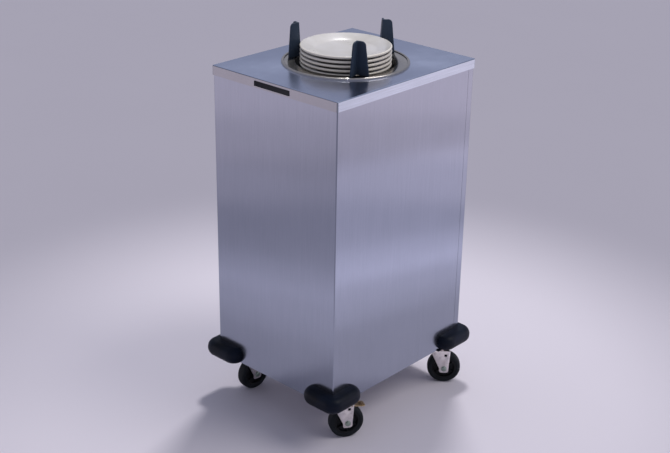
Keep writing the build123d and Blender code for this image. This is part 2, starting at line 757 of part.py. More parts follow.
# Casters: plate with kingpin, fork, axle, hub and tyre at each corner
leg_top = crown_top
for corner, (side_x, side_y) in corners.items():
    place = (side_x * caster_x, side_y * caster_y, 0)
    heading = caster_heading[corner]
    level = flat_plane(place, heading)

    with BuildPart() as caster_plate:
        with BuildSketch(Plane(origin=place).offset(caster_plate_bottom)):
            Rectangle(caster_plate_x, caster_plate_y)
            with GridLocations(bolt_spacing_x, bolt_spacing_y, 2, 2):
                Rectangle(bolt_hole, bolt_hole, mode=Mode.SUBTRACT)
        extrude(amount=caster_plate_sheet)
        with BuildSketch(level.offset(caster_plate_bottom)):
            Circle(kingpin_radius)
        extrude(amount=-(caster_plate_bottom - crown_bottom + swivel_gap))
        with BuildSketch(level.offset(crown_bottom - swivel_gap)):
            Circle(kingpin_head_radius)
        extrude(amount=-kingpin_head_height)
    save(caster_plate, f"{corner}_caster_plate")

    with BuildPart() as caster_fork:
        with BuildSketch(level.offset(crown_bottom)):
            with Locations(((crown_reach - leg_lead) / 2, 0)):
                Rectangle(crown_reach + leg_lead, fork_width)
        extrude(amount=crown_thickness)
        with BuildSketch(level.offset(crown_bottom)):
            Circle(race_radius)
        extrude(amount=crown_thickness + race_height)
        for across in (fork_width / 2, -leg_gap / 2):
            with BuildSketch(upright_plane(place, heading, across)):
                with BuildLine():
                    Polyline(
                        (-leg_lead, leg_top),
                        (leg_tail, leg_top),
                        (caster_trail + leg_end, axle_height),
                        (caster_trail + leg_end, axle_height - leg_end + leg_corner),
                        (caster_trail + leg_end - leg_corner, axle_height - leg_end),
                        (caster_trail - leg_end + leg_corner, axle_height - leg_end),
                        (caster_trail - leg_end, axle_height - leg_end + leg_corner),
                        (caster_trail - leg_end, axle_height),
                        close=True,
                    )
                make_face()
                with Locations((leg_window_x, leg_top - leg_window_drop)):
                    Rectangle(leg_window, leg_window, mode=Mode.SUBTRACT)
                with Locations((caster_trail, axle_height)):
                    Circle(axle_radius, mode=Mode.SUBTRACT)
                if corner in braked:
                    with Locations((brake_pivot_x, leg_top - brake_pivot_drop)):
                        Circle(brake_pin_radius + running_clearance, mode=Mode.SUBTRACT)
            extrude(amount=leg_sheet)
        with BuildSketch(level.offset(crown_bottom)):
            Circle(kingpin_radius + running_clearance)
        extrude(amount=crown_thickness + race_height, mode=Mode.SUBTRACT)
    save(caster_fork, f"{corner}_caster_fork")

    with BuildPart() as caster_axle:
        with BuildSketch(upright_plane(place, heading, fork_width / 2)):
            with Locations((caster_trail, axle_height)):
                Circle(axle_radius)
        extrude(amount=fork_width)
        for across, way in ((fork_width / 2, -1), (-fork_width / 2, 1)):
            with BuildSketch(upright_plane(place, heading, across)):
                with Locations((caster_trail, axle_height)):
                    RegularPolygon(axle_head_radius, 6)
            extrude(amount=way * axle_head_height)
    save(caster_axle, f"{corner}_caster_axle")

    wheel_middle = level.from_local_coords((caster_trail, 0, axle_height))
    wheel_plane = Plane(origin=wheel_middle, x_dir=level.y_dir, z_dir=level.x_dir)
    wheel_axis = Axis(wheel_middle, level.y_dir)
    with BuildPart() as wheel_hub:
        with BuildSketch(wheel_plane):
            Rectangle(hub_width, hub_radius, align=(Align.CENTER, Align.MIN))
            Rectangle(hub_width, 2 * (axle_radius + running_clearance), mode=Mode.SUBTRACT)
        revolve(axis=wheel_axis)
    save(wheel_hub, f"{corner}_wheel_hub")

    with BuildPart() as tyre:
        with BuildSketch(wheel_plane):
            with BuildLine():
                Polyline(
                    (-tyre_width / 2, hub_radius),
                    (tyre_width / 2, hub_radius),
                    (tread_width / 2, wheel_radius),
                    (-tread_width / 2, wheel_radius),
                    close=True,
                )
            make_face()
        revolve(axis=wheel_axis)
    save(tyre, f"{corner}_tyre")

    if corner not in braked:
        continue
    pivot = (brake_pivot_x, leg_top - brake_pivot_drop)
    with BuildPart() as brake_lever:
        with BuildSketch(upright_plane(place, heading, brake_width / 2)):
            with Locations(pivot):
                Circle(brake_boss_radius)
            with BuildLine():
                Polyline(
                    (pivot[0], pivot[1] - brake_boss_radius),
                    (brake_shoe_x, pivot[1] - brake_shoe_drop),
                    (brake_pedal_x, pivot[1] - brake_pedal_drop),
                    (brake_pedal_x, pivot[1] - brake_pedal_drop + brake_sheet),
                    (brake_shoe_x, pivot[1] - brake_shoe_drop + brake_sheet),
                    (pivot[0], pivot[1] - brake_boss_radius + brake_sheet),
                    close=True,
                )
            make_face()
        extrude(amount=brake_width)
        with BuildSketch(upright_plane(place, heading, fork_width / 2)):
            with Locations(pivot):
                Circle(brake_pin_radius)
        extrude(amount=fork_width)
    save(brake_lever, f"{corner}_brake_lever")
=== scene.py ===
# %% [markdown]
# # A heated plate dispenser
# The cabinet, its plate well and its casters come from the CAD frame, in metres, with +Z up and the front
# towards -Y. This lesson dresses that frame: the sheet metal keeps its CAD shape and gets a brushed finish,
# and the moulded, turned, pressed and wound pieces are modelled again with their soft edges.
# The frame is loaded first, because the later pieces are measured on it.

# %% Load the frame
import json
from math import atan2, cos, degrees, pi, radians, sin

import bmesh
import bpy
from mathutils import Matrix, Vector

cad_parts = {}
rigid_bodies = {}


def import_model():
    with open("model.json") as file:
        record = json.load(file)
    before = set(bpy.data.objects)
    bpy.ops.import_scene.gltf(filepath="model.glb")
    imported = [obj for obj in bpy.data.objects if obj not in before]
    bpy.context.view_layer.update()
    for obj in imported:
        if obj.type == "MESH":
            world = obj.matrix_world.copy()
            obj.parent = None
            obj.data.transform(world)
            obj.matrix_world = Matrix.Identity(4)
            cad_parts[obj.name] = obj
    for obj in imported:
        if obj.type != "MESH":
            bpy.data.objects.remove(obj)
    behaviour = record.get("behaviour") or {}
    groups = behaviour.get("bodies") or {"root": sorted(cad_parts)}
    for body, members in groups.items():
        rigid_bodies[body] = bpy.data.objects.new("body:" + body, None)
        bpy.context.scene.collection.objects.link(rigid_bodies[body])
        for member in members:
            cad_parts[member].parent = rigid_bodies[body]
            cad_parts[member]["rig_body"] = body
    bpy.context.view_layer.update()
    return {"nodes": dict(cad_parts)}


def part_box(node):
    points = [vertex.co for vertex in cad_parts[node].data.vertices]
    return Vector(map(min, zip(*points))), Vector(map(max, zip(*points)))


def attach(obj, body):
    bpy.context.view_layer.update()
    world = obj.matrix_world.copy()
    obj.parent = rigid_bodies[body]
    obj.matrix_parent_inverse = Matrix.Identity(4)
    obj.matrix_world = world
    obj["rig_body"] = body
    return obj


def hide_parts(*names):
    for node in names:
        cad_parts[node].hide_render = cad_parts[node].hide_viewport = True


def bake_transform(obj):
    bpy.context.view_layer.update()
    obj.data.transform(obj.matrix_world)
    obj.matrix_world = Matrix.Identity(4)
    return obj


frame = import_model()
nodes = frame["nodes"]

# %% [markdown]
# ## Writing shader maths
# A finish is a small network of nodes. Joining sockets by hand takes many lines, so one class wraps a socket:
# sums and products of wires become Math nodes, and every other node comes from one method that takes the
# node's settings first and its socket values or wires after them.

# %% Wires
class Wire:
    """A socket in a material. Arithmetic on wires adds Math nodes."""

    def __init__(self, tree, socket=None):
        self.tree = tree
        self.socket = socket

    def node(self, kind, settings=None, sockets=None, out=0):
        """Add a node: its settings, then the values or wires of its sockets."""
        made = self.tree.nodes.new(kind)
        for key, value in (settings or {}).items():
            setattr(made, key, value)
        for key, value in (sockets or {}).items():
            if isinstance(value, Wire):
                self.tree.links.new(value.socket, made.inputs[key])
            else:
                made.inputs[key].default_value = value
        return Wire(self.tree, made.outputs[out])

    def math(self, operation, first, second):
        """Add one Math node."""
        return self.node("ShaderNodeMath", {"operation": operation}, {0: first, 1: second})

    def __add__(self, other):
        return self.math("ADD", self, other)

    def __sub__(self, other):
        return self.math("SUBTRACT", self, other)

    def __rsub__(self, other):
        return self.math("SUBTRACT", other, self)

    def __mul__(self, other):
        return self.math("MULTIPLY", self, other)

    __radd__ = __add__
    __rmul__ = __mul__


print("wires ready")

# %% [markdown]
# ## Words for a finish
# Every finish below is said with the same few words: a new finish and what feeds it, cloudy noise, a ramp that
# stretches a value, a blend of two colours, a limit along an axis, and a relief. Each adds one or two nodes.
# Numbers that are the same all over a surface go straight onto the shader.

# %% New finishes and what feeds them
def new_finish(name, **fixed):
    """A material with its shader. Numbers that are the same all over go straight onto the shader."""
    made = bpy.data.materials.new(name)
    made.use_nodes = True
    shader = made.node_tree.nodes["Principled BSDF"]
    for socket, value in fixed.items():
        shader.inputs[socket.replace("_", " ")].default_value = value
    return made, Wire(made.node_tree), shader


def feed(shader, **wires):
    """Join wires to the shader's sockets."""
    for socket, wire in wires.items():
        wire.tree.links.new(wire.socket, shader.inputs[socket.replace("_", " ")])


def noise(wire, place, scale, detail=3.0, rough=0.55):
    """Cloudy noise between 0 and 1 at a scale in repeats a metre."""
    return wire.node(
        "ShaderNodeTexNoise", sockets={"Vector": place, "Scale": scale, "Detail": detail, "Roughness": rough}
    )


def ramp(wire, value, low, high, light=1.0):
    """Stretch a value so that low becomes 0 and high becomes light."""
    return wire.node("ShaderNodeMapRange", sockets={0: value, 1: low, 2: high, 3: 0.0, 4: light})


def blend(wire, share, first, second):
    """Mix two colours, or wires of colours, by a share."""
    return wire.node("ShaderNodeMix", {"data_type": "RGBA"}, {0: share, 6: first, 7: second}, out=2)


def beyond(wire, place, axis, limit, edge=0.0004):
    """0 before a limit along an axis and 1 beyond it, with a narrow soft edge."""
    along = wire.node("ShaderNodeSeparateXYZ", sockets={"Vector": place}, out=axis)
    return ramp(wire, along, limit - edge, limit)


def relief(wire, height, depth):
    """Turn a height between 0 and 1 into a bump that is depth metres deep."""
    return wire.node("ShaderNodeBump", sockets={"Height": height, "Distance": depth, "Strength": 1.0})


print("words for finishes ready")

# %% [markdown]
# ## Brushed stainless steel
# The cabinet is folded from stainless sheet that was drawn past an abrasive belt, so it carries fine scratches
# in one direction: up and down on the walls, front to back on the deck. Stretched noise gives the scratches: a
# high scale across the grain and a low one along it. Broad clouds vary the roughness as wiped metal does.
# The skirt is the deck's own sheet folded down. Below the fold it gets a darker painted shade in front and a
# paler, bluer painted highlight beyond the right-hand corner, blended in so that the sheet still has one material.

# %% Brushed steel
def brushed_steel(name, grain, dull, bright, roughness, scratch, skirt=None):
    """Stainless sheet whose scratches run along the axis with the small number in grain.

    A skirt is the sheet folded down below a height: its painted shade tone in front, and a painted highlight tone
    beyond a place along X.
    """
    made, wire, shader = new_finish(name, Metallic=1.0, Anisotropic=0.5)
    place = wire.node("ShaderNodeTexCoord", out="Object")
    across = wire.node("ShaderNodeMapping", sockets={"Vector": place, "Scale": grain})
    lines = noise(wire, across, 1.0, detail=4.0, rough=0.65)
    wiped = noise(wire, place, 5.0, detail=4.0, rough=0.6)
    spots = noise(wire, place, 38.0, detail=2.0, rough=0.5)
    share = ramp(wire, lines * 0.75 + wiped * 0.25, 0.32, 0.68)
    sheet_tone = blend(wire, share, dull, bright)
    if skirt:
        # Painted light: below the fold the skirt gets a darker painted shade in front and a paler, bluer painted
        # highlight beyond the right-hand corner.
        fold_height, front_painted_shade, highlight_start_x, side_painted_highlight = skirt
        on_deck = beyond(wire, place, "Z", fold_height)
        painted_highlight_mask = beyond(wire, place, "X", highlight_start_x)
        skirt_painted_light = blend(wire, painted_highlight_mask, front_painted_shade, side_painted_highlight)
        skirt_painted_tone = blend(wire, share * 0.3 + 0.7, (0, 0, 0, 1), skirt_painted_light)
        sheet_tone = blend(wire, on_deck, skirt_painted_tone, sheet_tone)
    feed(
        shader,
        Base_Color=sheet_tone,
        Roughness=roughness + (lines - 0.5) * 0.08 + (wiped - 0.5) * 0.10 + (spots - 0.5) * 0.05,
        Normal=relief(wire, lines, scratch),
    )
    return made


cap_low, cap_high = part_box("top_cap")
fold_radius = 0.0006
# Painted light: walls and deck are one stainless sheet. The walls' steel is painted darker, and the deck's steel
# is painted lighter and bluer, for the light that falls on the top.
wall_steel_painted_shade = brushed_steel(
    "wall_steel_painted_shade", grain=(900, 900, 9), dull=(0.28, 0.305, 0.37, 1), bright=(0.33, 0.355, 0.435, 1),
    roughness=0.19, scratch=0.000006,
)
deck_steel_painted_light = brushed_steel(
    "deck_steel_painted_light", grain=(900, 9, 900), dull=(0.50, 0.55, 0.73, 1), bright=(0.575, 0.63, 0.82, 1),
    roughness=0.22, scratch=0.000006,
    skirt=(cap_high.z - fold_radius, (0.36, 0.37, 0.41, 1), cap_high.x - fold_radius, (0.54, 0.61, 0.72, 1)),
)
# Painted reflection: the trim steel's warm brownish tone stands for the plates mirrored in it.
trim_steel_painted_reflection = brushed_steel(
    "trim_steel_painted_reflection", grain=(160, 160, 160), dull=(0.46, 0.43, 0.40, 1), bright=(0.58, 0.54, 0.50, 1),
    roughness=0.20, scratch=0.00001,
)
print("brushed steel:", wall_steel_painted_shade.name, deck_steel_painted_light.name, trim_steel_painted_reflection.name)

# %% [markdown]
# ## Plated and galvanised steel
# Forks, bolts and screws are zinc plated, and plating is never one colour: passivation leaves soft patches,
# greenish on the axles and yellow on the brakes. The inner sheets are galvanised, and their zinc froze into
# flat crystals, which a Voronoi texture gives: one random grey for each cell.

# %% Plated and galvanised steel
def zinc_plate(name, dull, bright, cast):
    """Bright plated steel with soft patches of passivation colour."""
    made, wire, shader = new_finish(name, Metallic=1.0)
    place = wire.node("ShaderNodeTexCoord", out="Object")
    patches = noise(wire, place, 55.0, detail=4.0, rough=0.6)
    tinge = noise(wire, place, 21.0, detail=2.0, rough=0.5)
    grit = noise(wire, place, 900.0, detail=2.0, rough=0.6)
    plated = blend(wire, ramp(wire, patches, 0.35, 0.65), dull, bright)
    feed(
        shader,
        Base_Color=blend(wire, ramp(wire, tinge, 0.45, 0.75, light=0.5), plated, cast),
        Roughness=0.30 + (patches - 0.5) * 0.25 + (grit - 0.5) * 0.12,
        Normal=relief(wire, grit, 0.00004),
    )
    return made


def galvanised(name):
    """Zinc-coated inner sheet with its crystal spangle."""
    made, wire, shader = new_finish(name, Metallic=1.0)
    place = wire.node("ShaderNodeTexCoord", out="Object")
    spangle = wire.node("ShaderNodeTexVoronoi", sockets={"Vector": place, "Scale": 90.0}, out="Color")
    level = wire.node("ShaderNodeSeparateColor", sockets={"Color": spangle})
    clouds = noise(wire, place, 9.0)
    feed(
        shader,
        Base_Color=blend(wire, level * 0.6 + clouds * 0.4, (0.36, 0.37, 0.39, 1), (0.58, 0.59, 0.61, 1)),
        Roughness=0.36 + level * 0.16 + (clouds - 0.5) * 0.1,
    )
    return made


zinc = zinc_plate(
    "zinc", dull=(0.64, 0.61, 0.61, 1), bright=(0.86, 0.82, 0.82, 1), cast=(0.80, 0.71, 0.66, 1)
)
green_zinc = zinc_plate(
    "green_zinc", dull=(0.24, 0.31, 0.28, 1), bright=(0.42, 0.50, 0.45, 1), cast=(0.34, 0.38, 0.28, 1)
)
yellow_zinc = zinc_plate(
    "yellow_zinc", dull=(0.44, 0.31, 0.15, 1), bright=(0.66, 0.52, 0.30, 1), cast=(0.60, 0.42, 0.34, 1)
)
spring_wire = zinc_plate(
    "spring_wire", dull=(0.24, 0.24, 0.25, 1), bright=(0.46, 0.46, 0.47, 1), cast=(0.36, 0.30, 0.24, 1)
)
inner_steel = galvanised("inner_steel")
print("coated steel:", [m.name for m in (zinc, green_zinc, yellow_zinc, spring_wire, inner_steel)])

# %% [markdown]
# ## Plastics, rubber and the heater's sheath
# The guides, bumpers and tyres are black, yet none is a flat black: the guides have a fine moulded grain, the
# bumpers patches of blue that are painted highlights, and the tyres carry grey scuffs and dust. One function
# gives them all, because they differ only in their colours, their grain and their gloss.

# %% Moulded finishes
def moulded(name, body, wear_tone_and_painted_highlight, roughness, grain, depth, clouds=9.0, gloss=0.4):
    """A moulded surface: a fine grain and slow patches of a second tone, which is wear on most pieces and a
    painted highlight on the bumpers.
    """
    made, wire, shader = new_finish(name, Metallic=0.0, Specular_IOR_Level=gloss)
    place = wire.node("ShaderNodeTexCoord", out="Object")
    fine = noise(wire, place, grain, detail=2.0, rough=0.6)
    wear_and_highlight_patches = noise(wire, place, clouds, detail=4.0, rough=0.6)
    feed(
        shader,
        Base_Color=blend(wire, ramp(wire, wear_and_highlight_patches * 0.8 + fine * 0.2, 0.35, 0.75), body, wear_tone_and_painted_highlight),
        Roughness=roughness + (wear_and_highlight_patches - 0.5) * 0.22 + (fine - 0.5) * 0.12,
        Normal=relief(wire, fine, depth),
    )
    return made


guide_plastic = moulded(
    "guide_plastic", body=(0.024, 0.036, 0.058, 1), wear_tone_and_painted_highlight=(0.042, 0.063, 0.098, 1),
    roughness=0.42, grain=1400.0, depth=0.00006, gloss=0.25,
)
# The bumper's blue second tone is a painted highlight.
bumper_rubber = moulded(
    "bumper_rubber", body=(0.002, 0.003, 0.006, 1), wear_tone_and_painted_highlight=(0.005, 0.011, 0.030, 1),
    roughness=0.44, grain=900.0, depth=0.00008, gloss=0.14,
)
hub_plastic = moulded(
    "hub_plastic", body=(0.004, 0.005, 0.006, 1), wear_tone_and_painted_highlight=(0.009, 0.010, 0.012, 1),
    roughness=0.50, grain=1200.0, depth=0.00005, gloss=0.2,
)
tyre_rubber = moulded(
    "tyre_rubber", body=(0.004, 0.006, 0.008, 1), wear_tone_and_painted_highlight=(0.012, 0.016, 0.020, 1),
    roughness=0.60, grain=700.0, depth=0.0001, clouds=40.0, gloss=0.2,
)
control_plastic = moulded(
    "control_plastic", body=(0.014, 0.014, 0.016, 1), wear_tone_and_painted_highlight=(0.026, 0.026, 0.029, 1),
    roughness=0.38, grain=1500.0, depth=0.00004,
)
shoe_plastic = moulded(
    "shoe_plastic", body=(0.66, 0.65, 0.60, 1), wear_tone_and_painted_highlight=(0.74, 0.73, 0.69, 1),
    roughness=0.45, grain=800.0, depth=0.00004,
)
heater_sheath = moulded(
    "heater_sheath", body=(0.16, 0.13, 0.11, 1), wear_tone_and_painted_highlight=(0.30, 0.26, 0.23, 1),
    roughness=0.50, grain=600.0, depth=0.00006, clouds=30.0,
)
badge_black = moulded(
    "badge_black", body=(0.010, 0.012, 0.016, 1), wear_tone_and_painted_highlight=(0.016, 0.018, 0.024, 1),
    roughness=0.50, grain=1500.0, depth=0.00002, gloss=0.2,
)
pointer_white = moulded(
    "pointer_white", body=(0.72, 0.71, 0.68, 1), wear_tone_and_painted_highlight=(0.80, 0.80, 0.78, 1),
    roughness=0.45, grain=1500.0, depth=0.00002,
)
lens_amber = moulded(
    "lens_amber", body=(0.62, 0.16, 0.02, 1), wear_tone_and_painted_highlight=(0.78, 0.27, 0.04, 1),
    roughness=0.16, grain=300.0, depth=0.00004, clouds=60.0,
)
print("materials so far", len(bpy.data.materials))

# %% [markdown]
# ## Glazed china
# The plates are hotel china, cream under a clear glaze, so their gloss sits in the coat and the body below
# stays soft. The rolled rim is painted a paler cream, a painted highlight where its edge catches the light: the
# distance from the stack's axis, which is the length of the place with its height flattened to nothing, tells the
# rim from the rest.

# %% China
def glazed_china(name, rim_highlight_start, rim_highlight_full):
    """Cream china under a clear, uneven glaze, with faint specks and a painted highlight that pales the rim
    between two radii.
    """
    made, wire, shader = new_finish(name, Metallic=0.0, Coat_Roughness=0.09, Specular_IOR_Level=0.45)
    place = wire.node("ShaderNodeTexCoord", out="Object")
    flow = noise(wire, place, 14.0, detail=3.0, rough=0.55)
    specks = ramp(wire, noise(wire, place, 420.0, detail=2.0, rough=0.5), 0.70, 0.78)
    cream = blend(wire, ramp(wire, flow, 0.35, 0.65), (0.60, 0.565, 0.52, 1), (0.68, 0.645, 0.62, 1))
    flattened = wire.node("ShaderNodeMapping", sockets={"Vector": place, "Scale": (1, 1, 0)})
    radius = wire.node("ShaderNodeVectorMath", {"operation": "LENGTH"}, {0: flattened}, out="Value")
    # The rim's paler cream is a painted highlight, blended in between two radii.
    body = blend(wire, ramp(wire, radius, rim_highlight_start, rim_highlight_full), cream, (0.88, 0.81, 0.70, 1))
    feed(
        shader,
        Base_Color=blend(wire, specks * 0.35, body, (0.42, 0.33, 0.22, 1)),
        Roughness=0.30 + (flow - 0.5) * 0.15,
        Coat_Weight=0.55 + (flow - 0.5) * 0.5,
        Normal=relief(wire, flow, 0.00025),
    )
    return made


china = glazed_china("china", rim_highlight_start=0.1205, rim_highlight_full=0.1235)
print("china ready, materials", len(bpy.data.materials))

# %% [markdown]
# ## Finishes on the CAD pieces that keep their shape
# Folded sheet, flat bar and plain turned rod look right as the CAD made them, so these nodes only swap their
# plain material for a finish. The pan, the tube and the rails are galvanised, the carrier is polished steel.

# %% Dress the kept nodes
corner_names = ("front_left", "front_right", "rear_left", "rear_right")
kept = {
    "top_cap": deck_steel_painted_light,
    "body_wrapper": wall_steel_painted_shade,
    "rear_panel": wall_steel_painted_shade,
    "carrier_plate": trim_steel_painted_reflection,
    "carrier_stem": zinc,
    "carrier_spider": zinc,
    "glide_shoes": shoe_plastic,
    "caster_bolts": zinc,
    "heating_elements": heater_sheath,
    "thermostat": control_plastic,
}
for name in (
    "rear_uprights", "base_pan", "front_caster_rail", "rear_caster_rail",
    "dispenser_tube", "spring_hangers", "heater_brackets", "control_box",
):
    kept[name] = inner_steel
for corner in corner_names:
    kept[f"{corner}_caster_plate"] = zinc
for name, finish in kept.items():
    nodes[name].data.materials.clear()
    nodes[name].data.materials.append(finish)
print("kept nodes", len(kept), "of", len(nodes))

# %% [markdown]
# ## Working as by hand
# The new pieces use the moves of hand modelling: add a primitive, draw or extrude in edit mode, pick edges by
# their place, bevel them, and leave edit mode. A few helpers keep those moves short. Everything is deselected
# before a primitive is added, since an operator acts on all that is selected.

# %% Starting, drawing and picking
same_point = 0.00001
close_by = 0.001
Y, Z = 1, 2


def begin(add, name, **how):
    """Add a primitive alone, name it and open it in edit mode."""
    if bpy.context.mode != "OBJECT":
        bpy.ops.object.mode_set(mode="OBJECT")
    bpy.ops.object.select_all(action="DESELECT")
    add(**how)
    piece = bpy.context.object
    piece.name = name
    bpy.ops.object.transform_apply(location=True, rotation=True, scale=True)
    bpy.ops.object.mode_set(mode="EDIT")
    bpy.ops.mesh.select_mode(type="VERT")
    bpy.ops.mesh.select_all(action="SELECT")
    return piece


def draw(name, points):
    """Draw edges point by point, from a plane merged to a single vertex."""
    piece = begin(bpy.ops.mesh.primitive_plane_add, name, size=0.002, location=points[0])
    bpy.ops.mesh.merge(type="CENTER")
    for here, there in zip(points, points[1:]):
        step = [b - a for a, b in zip(here, there)]
        bpy.ops.mesh.extrude_vertices_move(TRANSFORM_OT_translate={"value": step})
    bpy.ops.mesh.select_all(action="SELECT")
    return piece


def outline(name, points):
    """Draw a closed outline and fill it with one face."""
    piece = draw(name, list(points) + [points[0]])
    bpy.ops.mesh.remove_doubles(threshold=same_point)
    bpy.ops.mesh.edge_face_add()
    return piece


def pull(*step):
    """Extrude what is selected by a step in metres."""
    bpy.ops.mesh.extrude_region_move(TRANSFORM_OT_translate={"value": step})


def pick(kind, test):
    """Select in edit mode the vertices, edges or faces that pass a test, and nothing else."""
    bpy.ops.mesh.select_mode(type=kind)
    bpy.ops.mesh.select_all(action="DESELECT")
    mesh = bmesh.from_edit_mesh(bpy.context.edit_object.data)
    found = {"VERT": mesh.verts, "EDGE": mesh.edges, "FACE": mesh.faces}[kind]
    for item in found:
        item.select_set(bool(test(item)))
    mesh.select_flush_mode()
    bmesh.update_edit_mesh(bpy.context.edit_object.data)
    return sum(item.select for item in found)


def middle(edge):
    """The middle of an edge."""
    return (edge.verts[0].co + edge.verts[1].co) / 2


def runs(edge, axis):
    """Whether an edge reaches at least a millimetre along an axis."""
    return abs(edge.verts[0].co[axis] - edge.verts[1].co[axis]) > close_by


def looks(face, axis, way):
    """Whether a face looks along an axis: up it where way is 1, down it where way is -1."""
    return face.normal[axis] * way > 0.9


def round_off(test, width, segments):
    """Bevel the edges that pass a test."""
    pick("EDGE", test)
    bpy.ops.mesh.bevel(offset=width, segments=segments, affect="EDGES")


print("drawing helpers ready")

# %% [markdown]
# ## Closing, fusing and settling a piece
# A moulding or a welded part is one skin, so parts that overlap are fused by a Boolean instead of being only
# grouped, and every edge then has two faces. The manifold solver is used, because it leaves no slivers where
# rounded edges cross. A finished piece settles: its place goes into its mesh, it is shaded, it gets its finish,
# and it rides on the body of the node that it replaces.

# %% Closing, fusing and settling
def leave(piece):
    """Close edit mode with the piece alone selected."""
    bpy.ops.object.mode_set(mode="OBJECT")
    bpy.ops.object.select_all(action="DESELECT")
    piece.select_set(True)
    bpy.context.view_layer.objects.active = piece


def seal(apart=same_point):
    """Merge points that are no further apart and turn every face outwards."""
    bpy.ops.mesh.select_all(action="SELECT")
    bpy.ops.mesh.remove_doubles(threshold=apart)
    bpy.ops.mesh.normals_make_consistent(inside=False)


def close_ends():
    """Fill the open ends of a swept or wound skin."""
    bpy.ops.mesh.select_mode(type="EDGE")
    bpy.ops.mesh.select_all(action="DESELECT")
    bpy.ops.mesh.select_non_manifold()
    bpy.ops.mesh.fill_holes(sides=0)
    seal()


def soften(piece, width, segments=3, angle=30):
    """Round every edge sharper than the angle."""
    leave(piece)
    bpy.ops.object.modifier_add(type="BEVEL")
    bevel = piece.modifiers[-1]
    bevel.width = width
    bevel.segments = segments
    bevel.limit_method = "ANGLE"
    bevel.angle_limit = radians(angle)
    bpy.ops.object.modifier_apply(modifier=bevel.name)


def cut(piece, tool, operation="DIFFERENCE"):
    """Take a tool's shape out of a piece, or add it, and remove the tool."""
    leave(piece)
    bpy.ops.object.modifier_add(type="BOOLEAN")
    boolean = piece.modifiers[-1]
    boolean.operation = operation
    boolean.solver = "MANIFOLD"
    boolean.object = tool
    bpy.ops.object.modifier_apply(modifier=boolean.name)
    bpy.data.objects.remove(tool)


def join(name, *parts, apart=0.000002):
    """Make one skin of parts that overlap, with no two points closer than apart."""
    for part in parts[1:]:
        cut(parts[0], part, "UNION")
    bpy.ops.object.mode_set(mode="EDIT")
    seal(apart)
    leave(parts[0])
    parts[0].name = name
    return parts[0]


def copy(piece, name):
    """Another of a piece, with a mesh of its own."""
    leave(piece)
    bpy.ops.object.duplicate(linked=False)
    twin = bpy.context.object
    twin.name = name
    return twin


def settle(piece, finish, slot, *replaced, body=None, angle=35):
    """Apply the piece's place, shade it, give it its finish and hang it on the body of what it replaces."""
    leave(piece)
    bpy.ops.object.transform_apply(location=True, rotation=True, scale=True)
    bpy.ops.object.shade_smooth_by_angle(angle=radians(angle))
    piece.data.materials.clear()
    piece.data.materials.append(finish)
    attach(piece, body or nodes[replaced[0]]["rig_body"])
    if replaced:
        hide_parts(*replaced)


print("finishing helpers ready")

# %% [markdown]
# ## Blocks, bars and turned shapes
# Three starts come back in many pieces: a cube drawn out to a block, a cylinder laid along Y as axles and screws
# lie, and a section that is drawn once and spun about an axis, as on a lathe. None of them is a finished piece:
# each is left open in edit mode, to be shaped further.

# %% Blocks, bars and turned shapes
def block(name, size, place):
    """A cube drawn out to a size, with its middle at a place."""
    piece = begin(bpy.ops.mesh.primitive_cube_add, name, size=1.0)
    bpy.ops.transform.resize(value=size)
    bpy.ops.transform.translate(value=place)
    return piece


def bar(name, sides, radius, length, place):
    """A cylinder along Y, with its middle at a place."""
    return begin(
        bpy.ops.mesh.primitive_cylinder_add, name, vertices=sides, radius=radius, depth=length,
        location=place, rotation=(pi / 2, 0, 0),
    )


def turned(name, section, steps, centre=(0, 0, 0), axis=(0, 0, 1)):
    """Spin a drawn section a whole turn about an axis and close its seam."""
    piece = draw(name, section)
    bpy.ops.mesh.spin(steps=steps, angle=2 * pi, center=centre, axis=axis)
    seal()
    return piece


print("blocks, bars and turned shapes ready")

# %% [markdown]
# ## The well ring
# A turned trim ring lies on the deck round the well: a flat band whose outer edge is rolled into a bead. Its
# section is drawn as a line of edges and spun about the well's axis, the way it would be spun on a lathe.

# %% Spin the ring
low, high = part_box("well_ring")
ring_radius = high.x
well_radius = 0.138
deck = low.z
flat = deck + 0.002
bead_width = 0.008
bead = [
    (ring_radius - bead_width / 2 + bead_width / 2 * cos(a), 0, flat + (high.z - flat) * sin(a))
    for a in [pi * i / 10 for i in range(11)]
]
ring_section = [(well_radius + 0.001, 0, deck), (ring_radius, 0, deck)] + bead
ring_section += [(well_radius + 0.0012, 0, flat), (well_radius, 0, flat - 0.0008), (well_radius, 0, deck + 0.0006)]
ring = turned("ring_bead", ring_section + ring_section[:1], steps=160)
settle(ring, trim_steel_painted_reflection, "stainless", "well_ring", angle=50)

# %% [markdown]
# ## The plates
# Hotel china has a foot ring, a flat well, a sloping rim and a thick rolled edge. One plate is spun from its
# half section and copied down the stack, each plate standing with its foot in the well of the one below.
# The top plate rides on its own body, because it can be lifted off; the others ride on the carrier.

# %% Spin one plate and stack it
plate_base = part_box("top_plate")[0].z
plate_pitch = 0.012
plates_below = 4
plate_section = [
    (0.0, 0.0060), (0.0600, 0.0060), (0.0632, 0.0050), (0.0640, 0.0008), (0.0648, 0.0), (0.0690, 0.0),
    (0.0702, 0.0012), (0.0760, 0.0040), (0.0900, 0.0088), (0.1080, 0.0142), (0.1190, 0.0172),
    (0.1226, 0.0180), (0.1244, 0.0196), (0.1250, 0.0216), (0.1245, 0.0236), (0.1230, 0.0248),
    (0.1208, 0.0250), (0.1180, 0.0241), (0.1060, 0.0206), (0.0950, 0.0172), (0.0880, 0.0144),
    (0.0845, 0.0126), (0.0810, 0.0120), (0.0400, 0.0119), (0.0, 0.0119),
]
plate = turned("plate_top", [(radius, 0, plate_base + z) for radius, z in plate_section], steps=128)
for number in range(plates_below):
    lower = copy(plate, f"plate_{number + 2}")
    lower.location.z = -plate_pitch * (number + 1)
    settle(lower, china, "china", "plate_stack", angle=60)
settle(plate, china, "china", "top_plate", angle=60)
